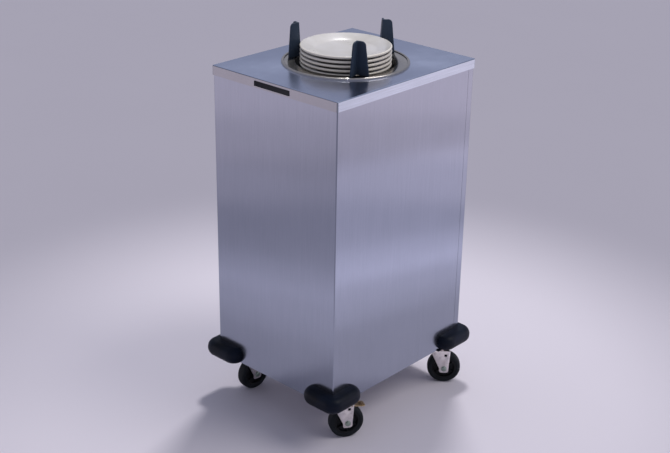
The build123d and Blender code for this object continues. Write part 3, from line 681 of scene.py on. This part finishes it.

# %% [markdown]
# ## The lift springs
# Three tension springs hang the carrier from the tube, so the stack sinks as plates are added and its top stays
# level. A small circle of wire is screwed upwards about the spring's axis, turn above turn, and its two ends are
# closed.

# %% Wind one spring and hang three
low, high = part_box("lift_spring_1")
wire_radius = 0.0011
spring_turns = 58
coil = begin(
    bpy.ops.mesh.primitive_circle_add, "coil", vertices=8, radius=wire_radius,
    location=((high.x - low.x) / 2 - wire_radius, 0, wire_radius), rotation=(pi / 2, 0, 0),
)
leave(coil)
bpy.ops.object.modifier_add(type="SCREW")
winding = coil.modifiers[-1]
winding.steps = winding.render_steps = 16
winding.iterations = spring_turns
winding.screw_offset = (high.z - low.z - 2 * wire_radius) / spring_turns
bpy.ops.object.modifier_apply(modifier=winding.name)
bpy.ops.object.mode_set(mode="EDIT")
close_ends()
for number in (1, 2, 3):
    low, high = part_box(f"lift_spring_{number}")
    axis = (low + high) / 2
    spring = copy(coil, f"coil_spring_{number}")
    spring.location = (axis.x, axis.y, low.z)
    bpy.ops.object.transform_apply(location=True, rotation=True, scale=True)
    bpy.ops.object.shade_smooth_by_angle(angle=radians(60))
    spring.data.materials.append(spring_wire)
    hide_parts(f"lift_spring_{number}")
    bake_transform(spring)
    print(spring.name, len(spring.data.polygons), "faces", "from cabinet to carrier")
bpy.data.objects.remove(coil)

# %% [markdown]
# ## The plate guides
# Three black posts hold the stack upright. Each is a moulded angle with its corner towards the plates, wide at
# the foot, tapered, and rounded at its outer top corners. The plan of the angle is drawn and extruded upwards,
# leaning back a little so that plates slip in; then the top ends are drawn in and their corners bevelled round.

# %% Model one guide and turn it to its places
guide_foot = deck + 0.002
guide_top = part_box("plate_guide_1")[1].z
guide_apex = 0.128
guide_twist = 8.0
guide_lean = Vector((0.006, 0, 0))
guide_turn = {1: -36.0, 2: 84.0, 3: 204.0}
leg_foot, leg_head, leg_wall = 0.040, 0.026, 0.005
along = [Vector((cos(radians(a + guide_twist)), sin(radians(a + guide_twist)), 0)) for a in (45, -45)]
apex = Vector((guide_apex, 0, guide_foot))
plan = [
    apex,
    apex + along[1] * leg_foot,
    apex + along[1] * leg_foot + along[0] * leg_wall,
    apex + (along[0] + along[1]) * leg_wall,
    apex + along[0] * leg_foot + along[1] * leg_wall,
    apex + along[0] * leg_foot,
]
guide = outline("guide_1", [tuple(p) for p in plan])
pull(guide_lean.x, 0, guide_top - guide_foot)
head = apex + guide_lean
top_end = guide_top - close_by
for way in along:
    pick("VERT", lambda v: v.co.z > top_end and (v.co - head).dot(way) > leg_foot - close_by)
    bpy.ops.transform.translate(value=way * (leg_head - leg_foot))
for way in along:
    round_off(
        lambda e: middle(e).z > top_end and (middle(e) - head).dot(way) > leg_head - close_by,
        width=0.010, segments=8,
    )
seal()
soften(guide, 0.0014, 3, angle=40)
for number in (2, 3):
    other = copy(guide, f"guide_{number}")
    other.rotation_euler.z = radians(guide_turn[number])
    settle(other, guide_plastic, "guide_plastic", f"plate_guide_{number}")
guide.rotation_euler.z = radians(guide_turn[1])
settle(guide, guide_plastic, "guide_plastic", "plate_guide_1")

# %% [markdown]
# ## The corner bumpers
# A rubber bumper wraps each lower corner. Its section is a D, flat against the wall. The section starts flat on
# one wall, swings out to make the rounded end, runs along the wall, swings round the corner, runs along the
# next wall and swings in again: spin and extrude in turn, as the bumper itself is shaped.

# %% Sweep one bumper
low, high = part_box("rear_right_bumper")
corner_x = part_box("body_wrapper")[1].x
corner_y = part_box("rear_panel")[1].y
bumper_depth = high.x - corner_x
bumper_run = 0.059
low_z, high_z, nose = low.z, high.z, 0.022


def d_section():
    """Points of the D: how far out from the wall, and how high."""
    points = [(0.0, low_z)]
    for centre_z, start in ((low_z + nose, -90), (high_z - nose, 0)):
        for step in range(10):
            a = radians(start + step * 10)
            points.append((bumper_depth - nose + nose * cos(a), centre_z + nose * sin(a)))
    return points + [(0.0, high_z)]


first_end = Vector((corner_x - bumper_run, corner_y, 0))
last_end = Vector((corner_x, corner_y - bumper_run, 0))
section = [(first_end.x - out, first_end.y, z) for out, z in d_section()]
bumper = draw("rear_right_corner_rubber", section + section[:1])
bpy.ops.mesh.remove_doubles(threshold=same_point)
for pivot, run in (
    (first_end, (bumper_run, 0, 0)),
    (Vector((corner_x, corner_y, 0)), (0, -bumper_run, 0)),
    (last_end, None),
):
    bpy.ops.mesh.spin(steps=12, angle=pi / 2, center=pivot, axis=(0, 0, 1))
    if run:
        pull(*run)
seal()
close_ends()
leave(bumper)
print("bumper reaches", [round(x, 4) for x in max((v.co for v in bumper.data.vertices), key=lambda c: c.x)])

# %% [markdown]
# ## The bumpers' webs
# The bumper is held by a flat web that runs under the cabinet and is clamped with the caster. It is a slab
# with rounded edges, fused with the rubber. The other three bumpers are mirrored copies: a negative scale turns
# a mesh inside out, so each copy has its normals recalculated.

# %% Add the web and make the other corners
plate_low, plate_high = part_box("rear_right_caster_plate")
web_overlap = 0.005
web_low = Vector((plate_low.x, plate_low.y, plate_high.z + 0.0003))
web_high = Vector((corner_x + web_overlap, corner_y + web_overlap, plate_high.z + 0.004))
web = block("bumper_web", web_high - web_low, (web_low + web_high) / 2)
round_off(lambda e: runs(e, Z) and middle(e).x < plate_low.x + close_by, width=0.008, segments=4)
seal()
soften(web, 0.0006, 2)
join("rear_right_corner_rubber", bumper, web)
for corner, flip in (("front_left", (-1, -1)), ("front_right", (1, -1)), ("rear_left", (-1, 1))):
    other = copy(bumper, f"{corner}_corner_rubber")
    other.scale = (flip[0], flip[1], 1)
    bpy.ops.object.transform_apply(location=True, rotation=True, scale=True)
    bpy.ops.object.mode_set(mode="EDIT")
    seal()
    settle(other, bumper_rubber, "bumper_rubber", f"{corner}_bumper", angle=40)
settle(bumper, bumper_rubber, "bumper_rubber", "rear_right_bumper", angle=40)

# %% [markdown]
# ## Casters: where each one stands
# The four casters are alike, so each of their pieces is modelled once with the swivel axis on the origin and
# the wheel trailing towards +X. The frame says where each caster stands and which way it trails.

# %% Measure the casters
def centre(node):
    """The middle of a node's box."""
    low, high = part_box(node)
    return (low + high) / 2


caster_place = {}
caster_heading = {}
for corner in corner_names:
    stand = centre(f"{corner}_caster_plate")
    wheel = centre(f"{corner}_wheel_hub")
    caster_place[corner] = Vector((stand.x, stand.y, 0))
    caster_heading[corner] = atan2(wheel.y - stand.y, wheel.x - stand.x)
trail = (centre("front_left_wheel_hub").xy - centre("front_left_caster_plate").xy).length
axle_height = centre("front_left_wheel_hub").z
wheel_centre = (trail, 0, axle_height)
across_y = (0, 1, 0)


def at_all_casters(piece, name, finish, slot, node, corners=corner_names, angle=35):
    """Copy a piece to each caster, turned to its heading, where it replaces that caster's node."""
    for corner in corners:
        other = copy(piece, f"{corner}_{name}")
        other.rotation_euler.z = caster_heading[corner]
        other.location = caster_place[corner]
        settle(other, finish, slot, f"{corner}_{node}", angle=angle)
    bpy.data.objects.remove(piece)


def turned_on_axle(name, section, steps):
    """Spin a section about the axle: how far out along the axle, and how far from it."""
    points = [(trail, out, axle_height + radius) for out, radius in section]
    return turned(name, points + points[:1], steps, wheel_centre, across_y)


print("trail", round(trail, 4), "headings", {c: round(degrees(h), 1) for c, h in caster_heading.items()})

# %% [markdown]
# ## Tyres
# The tyre is solid rubber with a crowned tread and rounded shoulders. It is spun about the axle.

# %% Spin a tyre
tyre_section = [
    (-0.0140, 0.0370), (-0.0150, 0.0385), (-0.0148, 0.0420), (-0.0136, 0.0465), (-0.0118, 0.0487),
    (-0.0090, 0.0496), (-0.0045, 0.0500), (0.0045, 0.0500), (0.0090, 0.0496), (0.0118, 0.0487),
    (0.0136, 0.0465), (0.0148, 0.0420), (0.0150, 0.0385), (0.0140, 0.0370),
]
tyre = turned_on_axle("tyre", tyre_section, steps=72)
at_all_casters(tyre, "rubber_tyre", tyre_rubber, "tyre", "tyre", angle=40)

# %% [markdown]
# ## Hubs
# The hub is a plastic moulding: a rim, a thinner web and a boss for the bearing. It is spun as the tyre is. Its
# ribs are faces of the web, picked every sixth of a turn and extruded outwards.

# %% Spin a hub and raise its ribs
hub_section = [
    (-0.0170, 0.0052), (-0.0170, 0.0125), (-0.0160, 0.0136), (-0.0060, 0.0150), (-0.0060, 0.0300),
    (-0.0140, 0.0315), (-0.0146, 0.0325), (-0.0146, 0.0368), (0.0146, 0.0368), (0.0146, 0.0325),
    (0.0140, 0.0315), (0.0060, 0.0300), (0.0060, 0.0150), (0.0160, 0.0136), (0.0170, 0.0125),
    (0.0170, 0.0052),
]
web_half, rib_rise = 0.006, 0.006
rib_every, rib_turn, rib_half = 60, 33, 4
hub = turned_on_axle("hub", hub_section, steps=60)


def on_rib(face):
    """A face of the web at one of six places round the axle."""
    out = face.calc_center_median() - Vector(wheel_centre)
    turn = degrees(atan2(out.z, out.x)) % rib_every
    return abs(abs(out.y) - web_half) < close_by / 2 and abs(turn - rib_turn) < rib_half


for side in (-1, 1):
    ribs = pick("FACE", lambda f: looks(f, Y, side) and on_rib(f))
    pull(0, side * rib_rise, 0)
print("rib faces on a side", ribs)
seal()
soften(hub, 0.0005, 2, angle=40)
at_all_casters(hub, "plastic_hub", hub_plastic, "hub_plastic", "wheel_hub", angle=40)

# %% [markdown]
# ## Caster forks
# The fork is pressed from plated sheet: a crown with two legs that taper to the axle, and a ball race above
# the crown. A leg's outline is drawn from the side, filled and extruded to the sheet's thickness; its end's
# corners are bevelled round, and the small square window is cut out of it. The race is spun, with the groove
# where its two cups meet.

# %% Press two legs
crown_low, crown_high = 0.106, 0.110
leg_end = 0.014
leg_foot_z = axle_height - leg_end
leg_inside, leg_sheet = 0.018, 0.003
window_x, window_z, window_size = 0.036, 0.095, 0.008
leg_outline = [
    (-0.010, crown_high), (0.050, crown_high), (trail + leg_end, axle_height), (trail + leg_end, leg_foot_z),
    (trail - leg_end, leg_foot_z), (trail - leg_end, axle_height),
]
legs = []
for side in (1, -1):
    leg = outline(f"leg_{side}", [(x, side * leg_inside, z) for x, z in leg_outline])
    pull(0, side * leg_sheet, 0)
    round_off(lambda e: runs(e, Y) and middle(e).z < leg_foot_z + close_by, width=0.007, segments=5)
    seal()
    window_place = (window_x, side * (leg_inside + leg_sheet / 2), window_z)
    window = begin(bpy.ops.mesh.primitive_cube_add, "window", size=window_size, location=window_place)
    round_off(lambda e: runs(e, Y), width=0.001, segments=2)
    cut(leg, window)
    soften(leg, 0.0007, 2, angle=40)
    legs.append(leg)
print("legs", [len(leg.data.polygons) for leg in legs], "faces")

# %% Fuse crown, race and legs
crown_size, crown_x = (0.040, 0.042, crown_high - crown_low), 0.010
crown = block("crown", crown_size, (crown_x, 0, (crown_low + crown_high) / 2))
round_off(lambda e: runs(e, Z) and middle(e).x > crown_x, width=0.006, segments=4)
seal()
soften(crown, 0.0006, 2)
race_section = [
    (0.0082, 0.1062), (0.0245, 0.1062), (0.0250, 0.1100), (0.0246, 0.1146), (0.0230, 0.1164), (0.0222, 0.1172),
    (0.0222, 0.1180), (0.0232, 0.1188), (0.0250, 0.1204), (0.0250, 0.1240), (0.0238, 0.1262), (0.0220, 0.1266),
    (0.0082, 0.1266),
]
points = [(radius, 0, z) for radius, z in race_section]
race = turned("race", points + points[:1], steps=48)
fork = join("fork", race, crown, *legs)
at_all_casters(fork, "pressed_fork", zinc, "zinc", "caster_fork")

# %% [markdown]
# ## Axle bolts
# A hex-headed bolt runs through both legs and the hub, with a nut on the other side and a washer under each. A
# hexagon is a cylinder of six sides whose outer face is inset and drawn out a little, which gives the chamfer of
# a real bolt head. The plating of the axles has a greenish cast.

# %% Model one axle
axle_length = 0.0495
washer_place, hex_place = 0.0215, 0.0233
rod = bar("axle", sides=24, radius=0.005, length=axle_length, place=wheel_centre)
round_off(lambda e: abs(abs(middle(e).y) - axle_length / 2) < close_by / 2, width=0.0006, segments=2)
seal()
ends = []
for side in (1, -1):
    place = (trail, side * washer_place, axle_height)
    washer = bar(f"washer_{side}", sides=32, radius=0.0085, length=0.0010, place=place)
    seal()
    soften(washer, 0.0002, 2)
    place = (trail, side * hex_place, axle_height)
    bolt_head = bar(f"hex_{side}", sides=6, radius=0.0082, length=0.0026, place=place)
    pick("FACE", lambda f: looks(f, Y, side))
    bpy.ops.mesh.inset(thickness=0.0009)
    bpy.ops.transform.translate(value=(0, side * 0.0004, 0))
    seal()
    soften(bolt_head, 0.0002, 2)
    ends += [washer, bolt_head]
axle = join("axle", rod, *ends)
at_all_casters(axle, "axle_bolt", green_zinc, "zinc", "caster_axle")

# %% [markdown]
# ## Brake levers
# The two front casters carry a foot brake: a pressed lever that pivots between the legs and presses its shoe
# on the tyre. Its side view is drawn and extruded across, the free corners of the pedal are rounded, and three
# low ribs keep the foot from slipping. A barrel and a pin at the pivot are fused with it.

# %% Bend and round the lever
pivot_x, pivot_z = 0.044, 0.1045
lever_sheet, lever_width = 0.003, 0.028
bend = [(0.0, -0.0042), (0.022, -0.0094), (0.042, -0.0120)]
under = [(pivot_x + x, pivot_z + z) for x, z in bend]
over = [(x, z + lever_sheet) for x, z in reversed(under)]
lever = outline("lever", [(x, -lever_width / 2, z) for x, z in under + over])
pull(0, lever_width, 0)
seal()
lever_end = pivot_x + bend[-1][0]
round_off(lambda e: middle(e).x > lever_end - close_by and runs(e, Z), width=0.007, segments=5)
seal()
soften(lever, 0.0007, 2, angle=25)
print("lever", len(lever.data.polygons), "faces")

# %% Add its ribs, barrel and pin
pieces = [lever]
shoe, pedal = bend[1:]
fall = (pedal[1] - shoe[1]) / (pedal[0] - shoe[0])
rib_pitch, rib_lift = 0.005, 0.0002
for number in range(3):
    along_pedal = rib_pitch + rib_pitch * number
    x = pivot_x + shoe[0] + along_pedal
    z = pivot_z + shoe[1] + along_pedal * fall + lever_sheet
    rib = block(f"rib_{number}", (0.0016, 0.018, 0.0012), (0, 0, 0))
    leave(rib)
    rib.rotation_euler.y = -atan2(fall, 1.0)
    rib.location = (x, 0, z + rib_lift)
    bpy.ops.object.transform_apply(location=True, rotation=True, scale=True)
    soften(rib, 0.0004, 2)
    pieces.append(rib)
for name, radius, length in (("barrel", 0.0042, lever_width), ("pin", 0.003, 0.042)):
    rod = bar(name, sides=24, radius=radius, length=length, place=(pivot_x, 0, pivot_z))
    seal()
    soften(rod, 0.0004, 2)
    pieces.append(rod)
lever = join("lever", *pieces)
at_all_casters(lever, "foot_brake", yellow_zinc, "yellow_zinc", "brake_lever", ("front_left", "front_right"))

# %% [markdown]
# ## The thermostat knob
# Behind the cabinet sit plain moulded controls: a thermostat knob, a rocker switch, a pilot lamp and the cord's
# inlet gland. The knob is a spun skirt fused with a grip bar that narrows outwards. Its white pointer stands a
# little out of the grip, because two faces in one plane would fight and hide it.

# %% Knob
low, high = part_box("thermostat_knob")
knob_middle = (low + high) / 2
knob_radius = (high.z - low.z) / 2
skirt_section = [
    (0.0033, 0.0), (0.0150, 0.0), (0.0166, 0.0004), (knob_radius, 0.0014), (knob_radius - 0.0004, 0.0036),
    (knob_radius - 0.0016, 0.0050), (0.0130, 0.0062), (0.0033, 0.0062),
]
points = [(knob_middle.x, low.y + out, knob_middle.z + radius) for radius, out in skirt_section]
skirt = turned("knob_skirt", points + points[:1], steps=64, centre=knob_middle, axis=across_y)
grip_start = 0.005
grip = block(
    "knob_grip", (0.009, high.y - low.y - grip_start, 0.030),
    (knob_middle.x, (low.y + grip_start + high.y) / 2, knob_middle.z),
)
pick("VERT", lambda v: v.co.y > high.y - close_by)
bpy.ops.transform.resize(value=(0.72, 1, 0.92), center_override=(knob_middle.x, high.y, knob_middle.z))
round_off(lambda e: runs(e, Y), width=0.0028, segments=4)
seal()
soften(grip, 0.0008, 3)
knob = join("knob_moulding", skirt, grip)
settle(knob, control_plastic, "control_plastic", "thermostat_knob")
pointer = block("knob_pointer", (0.0018, 0.0008, 0.012), (knob_middle.x, high.y, knob_middle.z + 0.0068))
seal()
soften(pointer, 0.0002, 2)
settle(pointer, pointer_white, "control_plastic", body="knob")

# %% [markdown]
# ## The power switch
# The switch has a bezel outside the panel and a smaller body inside it. The two blocks overlap and are fused,
# and one recess is cut through the bezel into the body, where the rocker swings.

# %% Switch
low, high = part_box("power_switch")
size = high - low
switch_x, switch_z = (low.x + high.x) / 2, (low.z + high.z) / 2
bezel_back = corner_y
body_front = bezel_back + 0.001
body_inset = 0.004
recess_front, recess_back = high.y + 0.001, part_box("switch_rocker")[0].y - 0.001
bezel = block(
    "switch_bezel", (size.x, high.y - bezel_back, size.z), (switch_x, (bezel_back + high.y) / 2, switch_z)
)
seal()
soften(bezel, 0.0006, 3)
body = block(
    "switch_body", (size.x - body_inset, body_front - low.y, size.z - body_inset),
    (switch_x, (body_front + low.y) / 2, switch_z),
)
seal()
soften(body, 0.0004, 2)
switch = join("switch_housing", bezel, body)
recess = block(
    "recess", (0.0144, recess_front - recess_back, 0.0178),
    (switch_x, (recess_front + recess_back) / 2, switch_z),
)
seal()
cut(switch, recess)
settle(switch, control_plastic, "control_plastic", "power_switch")

# %% [markdown]
# ## The rocker
# Seen from the side, the rocker is an arc about its pivot with a shallow V for the finger. That outline is
# drawn, filled and extruded across, and the whole is tipped about the pivot to the position it rests in.

# %% Rocker
pivot = Vector((switch_x, high.y, switch_z))
rocker_reach, rocker_width, rocker_tip = 0.0086, 0.0138, -8.0
arc = [(-rocker_reach * cos(radians(a)), rocker_reach * sin(radians(a))) for a in range(-80, 81, 10)]
face = [(0.0015, 0.00845), (0.0004, 0.0030), (0.0002, 0.0), (0.0004, -0.0030), (0.0015, -0.00845)]
rocker = outline(
    "rocker_cap", [(pivot.x - rocker_width / 2, pivot.y + out, pivot.z + up) for out, up in arc + face]
)
pull(rocker_width, 0, 0)
seal()
soften(rocker, 0.0004, 2, angle=40)
rocker.data.transform(
    Matrix.Translation(pivot) @ Matrix.Rotation(radians(rocker_tip), 4, "X") @ Matrix.Translation(-pivot)
)
settle(rocker, control_plastic, "control_plastic", "switch_rocker", angle=40)

# %% [markdown]
# ## The pilot lamp
# A lamp shows that the heater is on. Its bezel is a thin block whose inner face is inset and drawn back through
# the panel. The amber lens is a block whose outer face is drawn in, so that its edges catch the light.

# %% Lamp
low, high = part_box("pilot_lamp")
size = high - low
lamp_x, lamp_z = (low.x + high.x) / 2, (low.z + high.z) / 2
bezel_sheet, bezel_lip, lamp_depth = 0.0015, 0.0015, 0.018
lamp = block("lamp_bezel", (size.x, bezel_sheet, size.z), (lamp_x, corner_y + bezel_sheet / 2, lamp_z))
pick("FACE", lambda f: looks(f, Y, -1))
bpy.ops.mesh.inset(thickness=bezel_lip)
pull(0, -lamp_depth, 0)
seal()
soften(lamp, 0.0004, 2)
settle(lamp, control_plastic, "control_plastic", "pilot_lamp")
lens = block("lamp_lens_cap", (0.011, 0.0014, 0.017), (lamp_x, corner_y + 0.0022, lamp_z))
pick("FACE", lambda f: looks(f, Y, 1))
bpy.ops.transform.resize(value=(0.80, 1, 0.86), center_override=(lamp_x, 0, lamp_z))
seal()
soften(lens, 0.0003, 3)
settle(lens, lens_amber, "lamp_lens", body="cabinet")

# %% [markdown]
# ## The cord's inlet gland
# The gland clamps the panel between two hexagon nuts and ends in a domed nose, with its bore left open for a
# cord. The nose is spun. Each nut is a six-sided bar, bored to fit on the nose, and the three are fused.

# %% Gland
low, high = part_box("cord_gland")
gland = Vector(((low.x + high.x) / 2, corner_y, (low.z + high.z) / 2))
nose_section = [
    (0.0050, -0.0140), (0.0080, -0.0140), (0.0080, 0.0060), (0.0078, 0.0090), (0.0072, 0.0118), (0.0062, 0.0136),
    (0.0055, 0.0140), (0.0050, 0.0138),
]
points = [(gland.x, gland.y + out, gland.z + radius) for radius, out in nose_section]
nose_piece = turned("gland_nose", points + points[:1], steps=40, centre=gland, axis=across_y)
nut_depth = 0.006
nuts = []
for start in (0.0, -0.0072):
    place = (gland.x, gland.y + start + nut_depth / 2, gland.z)
    nut = bar("gland_nut", sides=6, radius=0.013, length=nut_depth, place=place)
    bpy.ops.transform.rotate(value=pi / 6, orient_axis="Y", center_override=gland)
    seal()
    soften(nut, 0.0007, 2)
    place = (gland.x, gland.y + start, gland.z)
    bore = bar("gland_bore", sides=40, radius=0.0078, length=0.03, place=place)
    seal()
    cut(nut, bore)
    nuts.append(nut)
gland_piece = join("gland_moulding", nose_piece, *nuts)
settle(gland_piece, control_plastic, "control_plastic", "cord_gland")

# %% [markdown]
# ## The panel screws
# Four flanged screws hold the rear panel. Head, flange and shank are three bars that overlap and are fused; the
# head's face is inset and sunk. One screw is made at the origin and copied to the corners of the panel.

# %% Panel screws
low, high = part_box("rear_panel_screws")
flange_radius = 0.0045
screw = bar("screw", sides=6, radius=0.0040, length=0.0026, place=(0, 0.0017, 0))
pick("FACE", lambda f: looks(f, Y, 1))
bpy.ops.mesh.inset(thickness=0.0006)
bpy.ops.transform.translate(value=(0, -0.0005, 0))
seal()
soften(screw, 0.0002, 2)
flange = bar("flange", sides=24, radius=flange_radius, length=0.0008, place=(0, 0.0004, 0))
seal()
soften(flange, 0.0002, 2)
shank = bar("shank", sides=16, radius=0.0019, length=0.0076, place=(0, -0.0032, 0))
seal()
soften(shank, 0.0003, 2)
screw = join("screw", screw, flange, shank, apart=0.00002)
number = 0
for x in (low.x + flange_radius, high.x - flange_radius):
    for z in (low.z + flange_radius, high.z - flange_radius):
        number += 1
        other = copy(screw, f"panel_screw_{number}")
        other.location = (x, corner_y, z)
        settle(other, zinc, "zinc", "rear_panel_screws")
bpy.data.objects.remove(screw)

# %% [markdown]
# ## The bare plate on the front skirt
# A narrow black plate is fixed to the cap's skirt. It is left bare. A cube is flattened to the plate's size,
# its face is inset and sunk a little for the rim, and its corners are rounded.

# %% Front plate
tag_size = (0.128, 0.0012, 0.014)
tag = block("front_plate", tag_size, (-0.002, cap_low.y - tag_size[1] / 2, cap_high.z - 0.015))
round_off(lambda e: runs(e, Y), width=0.0012, segments=3)
pick("FACE", lambda f: looks(f, Y, -1))
bpy.ops.mesh.inset(thickness=0.0008)
bpy.ops.transform.translate(value=(0, 0.0003, 0))
seal()
soften(tag, 0.00015, 2)
settle(tag, badge_black, "control_plastic", body="cabinet")

# %% [markdown]
# ## Floor and sky
# The object stands on a wide pale floor with a faint mottle, under a plain sky that fills the shadows.

# %% Floor and sky
bpy.ops.object.select_all(action="DESELECT")
bpy.ops.mesh.primitive_plane_add(size=60.0, location=(0, 0, 0))
floor = bpy.context.object
floor.name = "studio_floor"
floor_finish, wire, shader = new_finish("floor_paint", Roughness=0.9, Specular_IOR_Level=0.1)
place = wire.node("ShaderNodeTexCoord", out="Object")
mottle = noise(wire, place, 1.5, detail=2.0)
feed(shader, Base_Color=blend(wire, mottle, (0.72, 0.67, 0.73, 1), (0.74, 0.69, 0.75, 1)))
floor.data.materials.append(floor_finish)

world = bpy.data.worlds.new("studio")
bpy.context.scene.world = world
world.use_nodes = True
sky = world.node_tree.nodes["Background"]
sky.inputs["Color"].default_value = (0.50, 0.53, 0.66, 1)
sky.inputs["Strength"].default_value = 0.6
print("floor and sky ready")

# %% [markdown]
# ## Lamps and cards
# A broad sun and a lamp behind and above light the object at a plain level, so a colour renders about as it is
# written. Steel shows what it mirrors: the object's own shadow on the floor darkens the foot of each wall. Lit
# cards stand on the floor before each wall, tall ones far off for the glow that fades from the top and low ones
# nearer for the soft band in the lower half. No two share a plane, as one would hide the other.

# %% Lamps and cards
def lamp_at(name, kind, place, aim, energy, colour, size=(0, 0), angle=0):
    """A lamp at a place, turned towards the point it is aimed at."""
    data = bpy.data.lights.new(name, kind)
    data.energy = energy
    data.color = colour
    if kind == "AREA":
        data.shape = "RECTANGLE"
        data.size, data.size_y = size
    elif kind == "SPOT":
        data.spot_size, data.spot_blend = radians(angle), 0.4
        data.shadow_soft_size = size[0] / 2
    else:
        data.angle = radians(angle)
    made = bpy.data.objects.new(name, data)
    bpy.context.scene.collection.objects.link(made)
    made.location = place
    made.rotation_euler = (Vector(aim) - Vector(place)).to_track_quat("-Z", "Y").to_euler()
    return made


def card(name, place, aim, foot, head, glow, colour, width=1.6):
    """A lit card that stands at a place and faces a wall. It shows only in mirror images."""
    size = (width, head - foot)
    lift = Vector((0, 0, (foot + head) / 2))
    power = glow * pi * size[0] * size[1]
    made = lamp_at(name, "AREA", Vector(place) + lift, Vector(aim) + lift, power, colour, size)
    made.visible_camera = made.visible_diffuse = False


lamp_at(
    "key_sun", "SUN", place=(2.2, 1.2, 3.6), aim=(0, 0, 0.5), energy=0.9, colour=(1.0, 0.98, 0.96), angle=30
)
lamp_at(
    "top_lamp", "SPOT", place=(-1.0, 1.8, 5.6), aim=(0, 0, 0), energy=580, colour=(0.98, 0.98, 1.0),
    size=(0.8, 0.8), angle=26,
)
panel_colour, strip_colour = (1.0, 0.84, 0.88), (0.88, 0.83, 1.0)
panel_foot, panel_head, panel_rise, panel_gap = 0.04, 0.76, 0.16, 0.04
strip_foot = 0.01
for side, far, far_aim, far_glow, near, near_aim, tall_glow, low_glow in (
    ("right", (1.20, 1.17, 0), (0.26, 0, 0), 0.265, (0.83, 0.72, 0), (0, 0.38, 0), 0.39, 0.25),
    ("left", (-1.08, -1.36, 0), (0, -0.31, 0), 0.20, (-0.57, -0.85, 0), (-0.26, 0, 0), 0.09, 0.12),
):
    for step in range(3):
        place = Vector(far) * (1 + panel_gap * step)
        foot = panel_foot + panel_rise * step
        card(f"{side}_panel_{step}", place, far_aim, foot, panel_head, far_glow, panel_colour)
    strips = (
        (1.0, 0.45, tall_glow), (0.96, 0.15, low_glow),
        (0.86, 0.13, low_glow * 1.1), (0.74, 0.10, low_glow * 0.8),
    )
    for step, (share, head, glow) in enumerate(strips):
        card(f"{side}_strip_{step}", Vector(near) * share, near_aim, strip_foot, head, glow, strip_colour)
bpy.context.scene.view_settings.view_transform = "Standard"
print("lamps and cards", len(bpy.data.lights))

# %% [markdown]
# ## The camera
# The camera stands at the photograph's viewing angle, found from the cabinet's corners: how far round, how high
# and how much rolled. It has no shift, so that views from other sides stay centred.

# %% Camera
photo_width, focal_pixels, sensor = 670, 1251.6, 36.0
camera_place = (2.2002, -2.4398, 1.9587)
azimuth, elevation, roll = radians(42.42), radians(23.626), radians(0.937)
back = Vector((sin(azimuth) * cos(elevation), -cos(azimuth) * cos(elevation), sin(elevation)))
right = Vector((cos(azimuth), sin(azimuth), 0))
up = back.cross(right)
rolled_right = right * cos(roll) + up * sin(roll)
rolled_up = up * cos(roll) - right * sin(roll)
camera_data = bpy.data.cameras.new("photo_camera")
camera_data.sensor_width = sensor
camera_data.lens = focal_pixels * sensor / photo_width
camera_data.clip_end = 200
camera = bpy.data.objects.new("photo_camera", camera_data)
bpy.context.scene.collection.objects.link(camera)
turn = Matrix((rolled_right, rolled_up, back)).transposed().to_4x4()
camera.matrix_world = Matrix.Translation(camera_place) @ turn
bpy.context.scene.camera = camera
print("camera at", [round(x, 3) for x in camera.location])
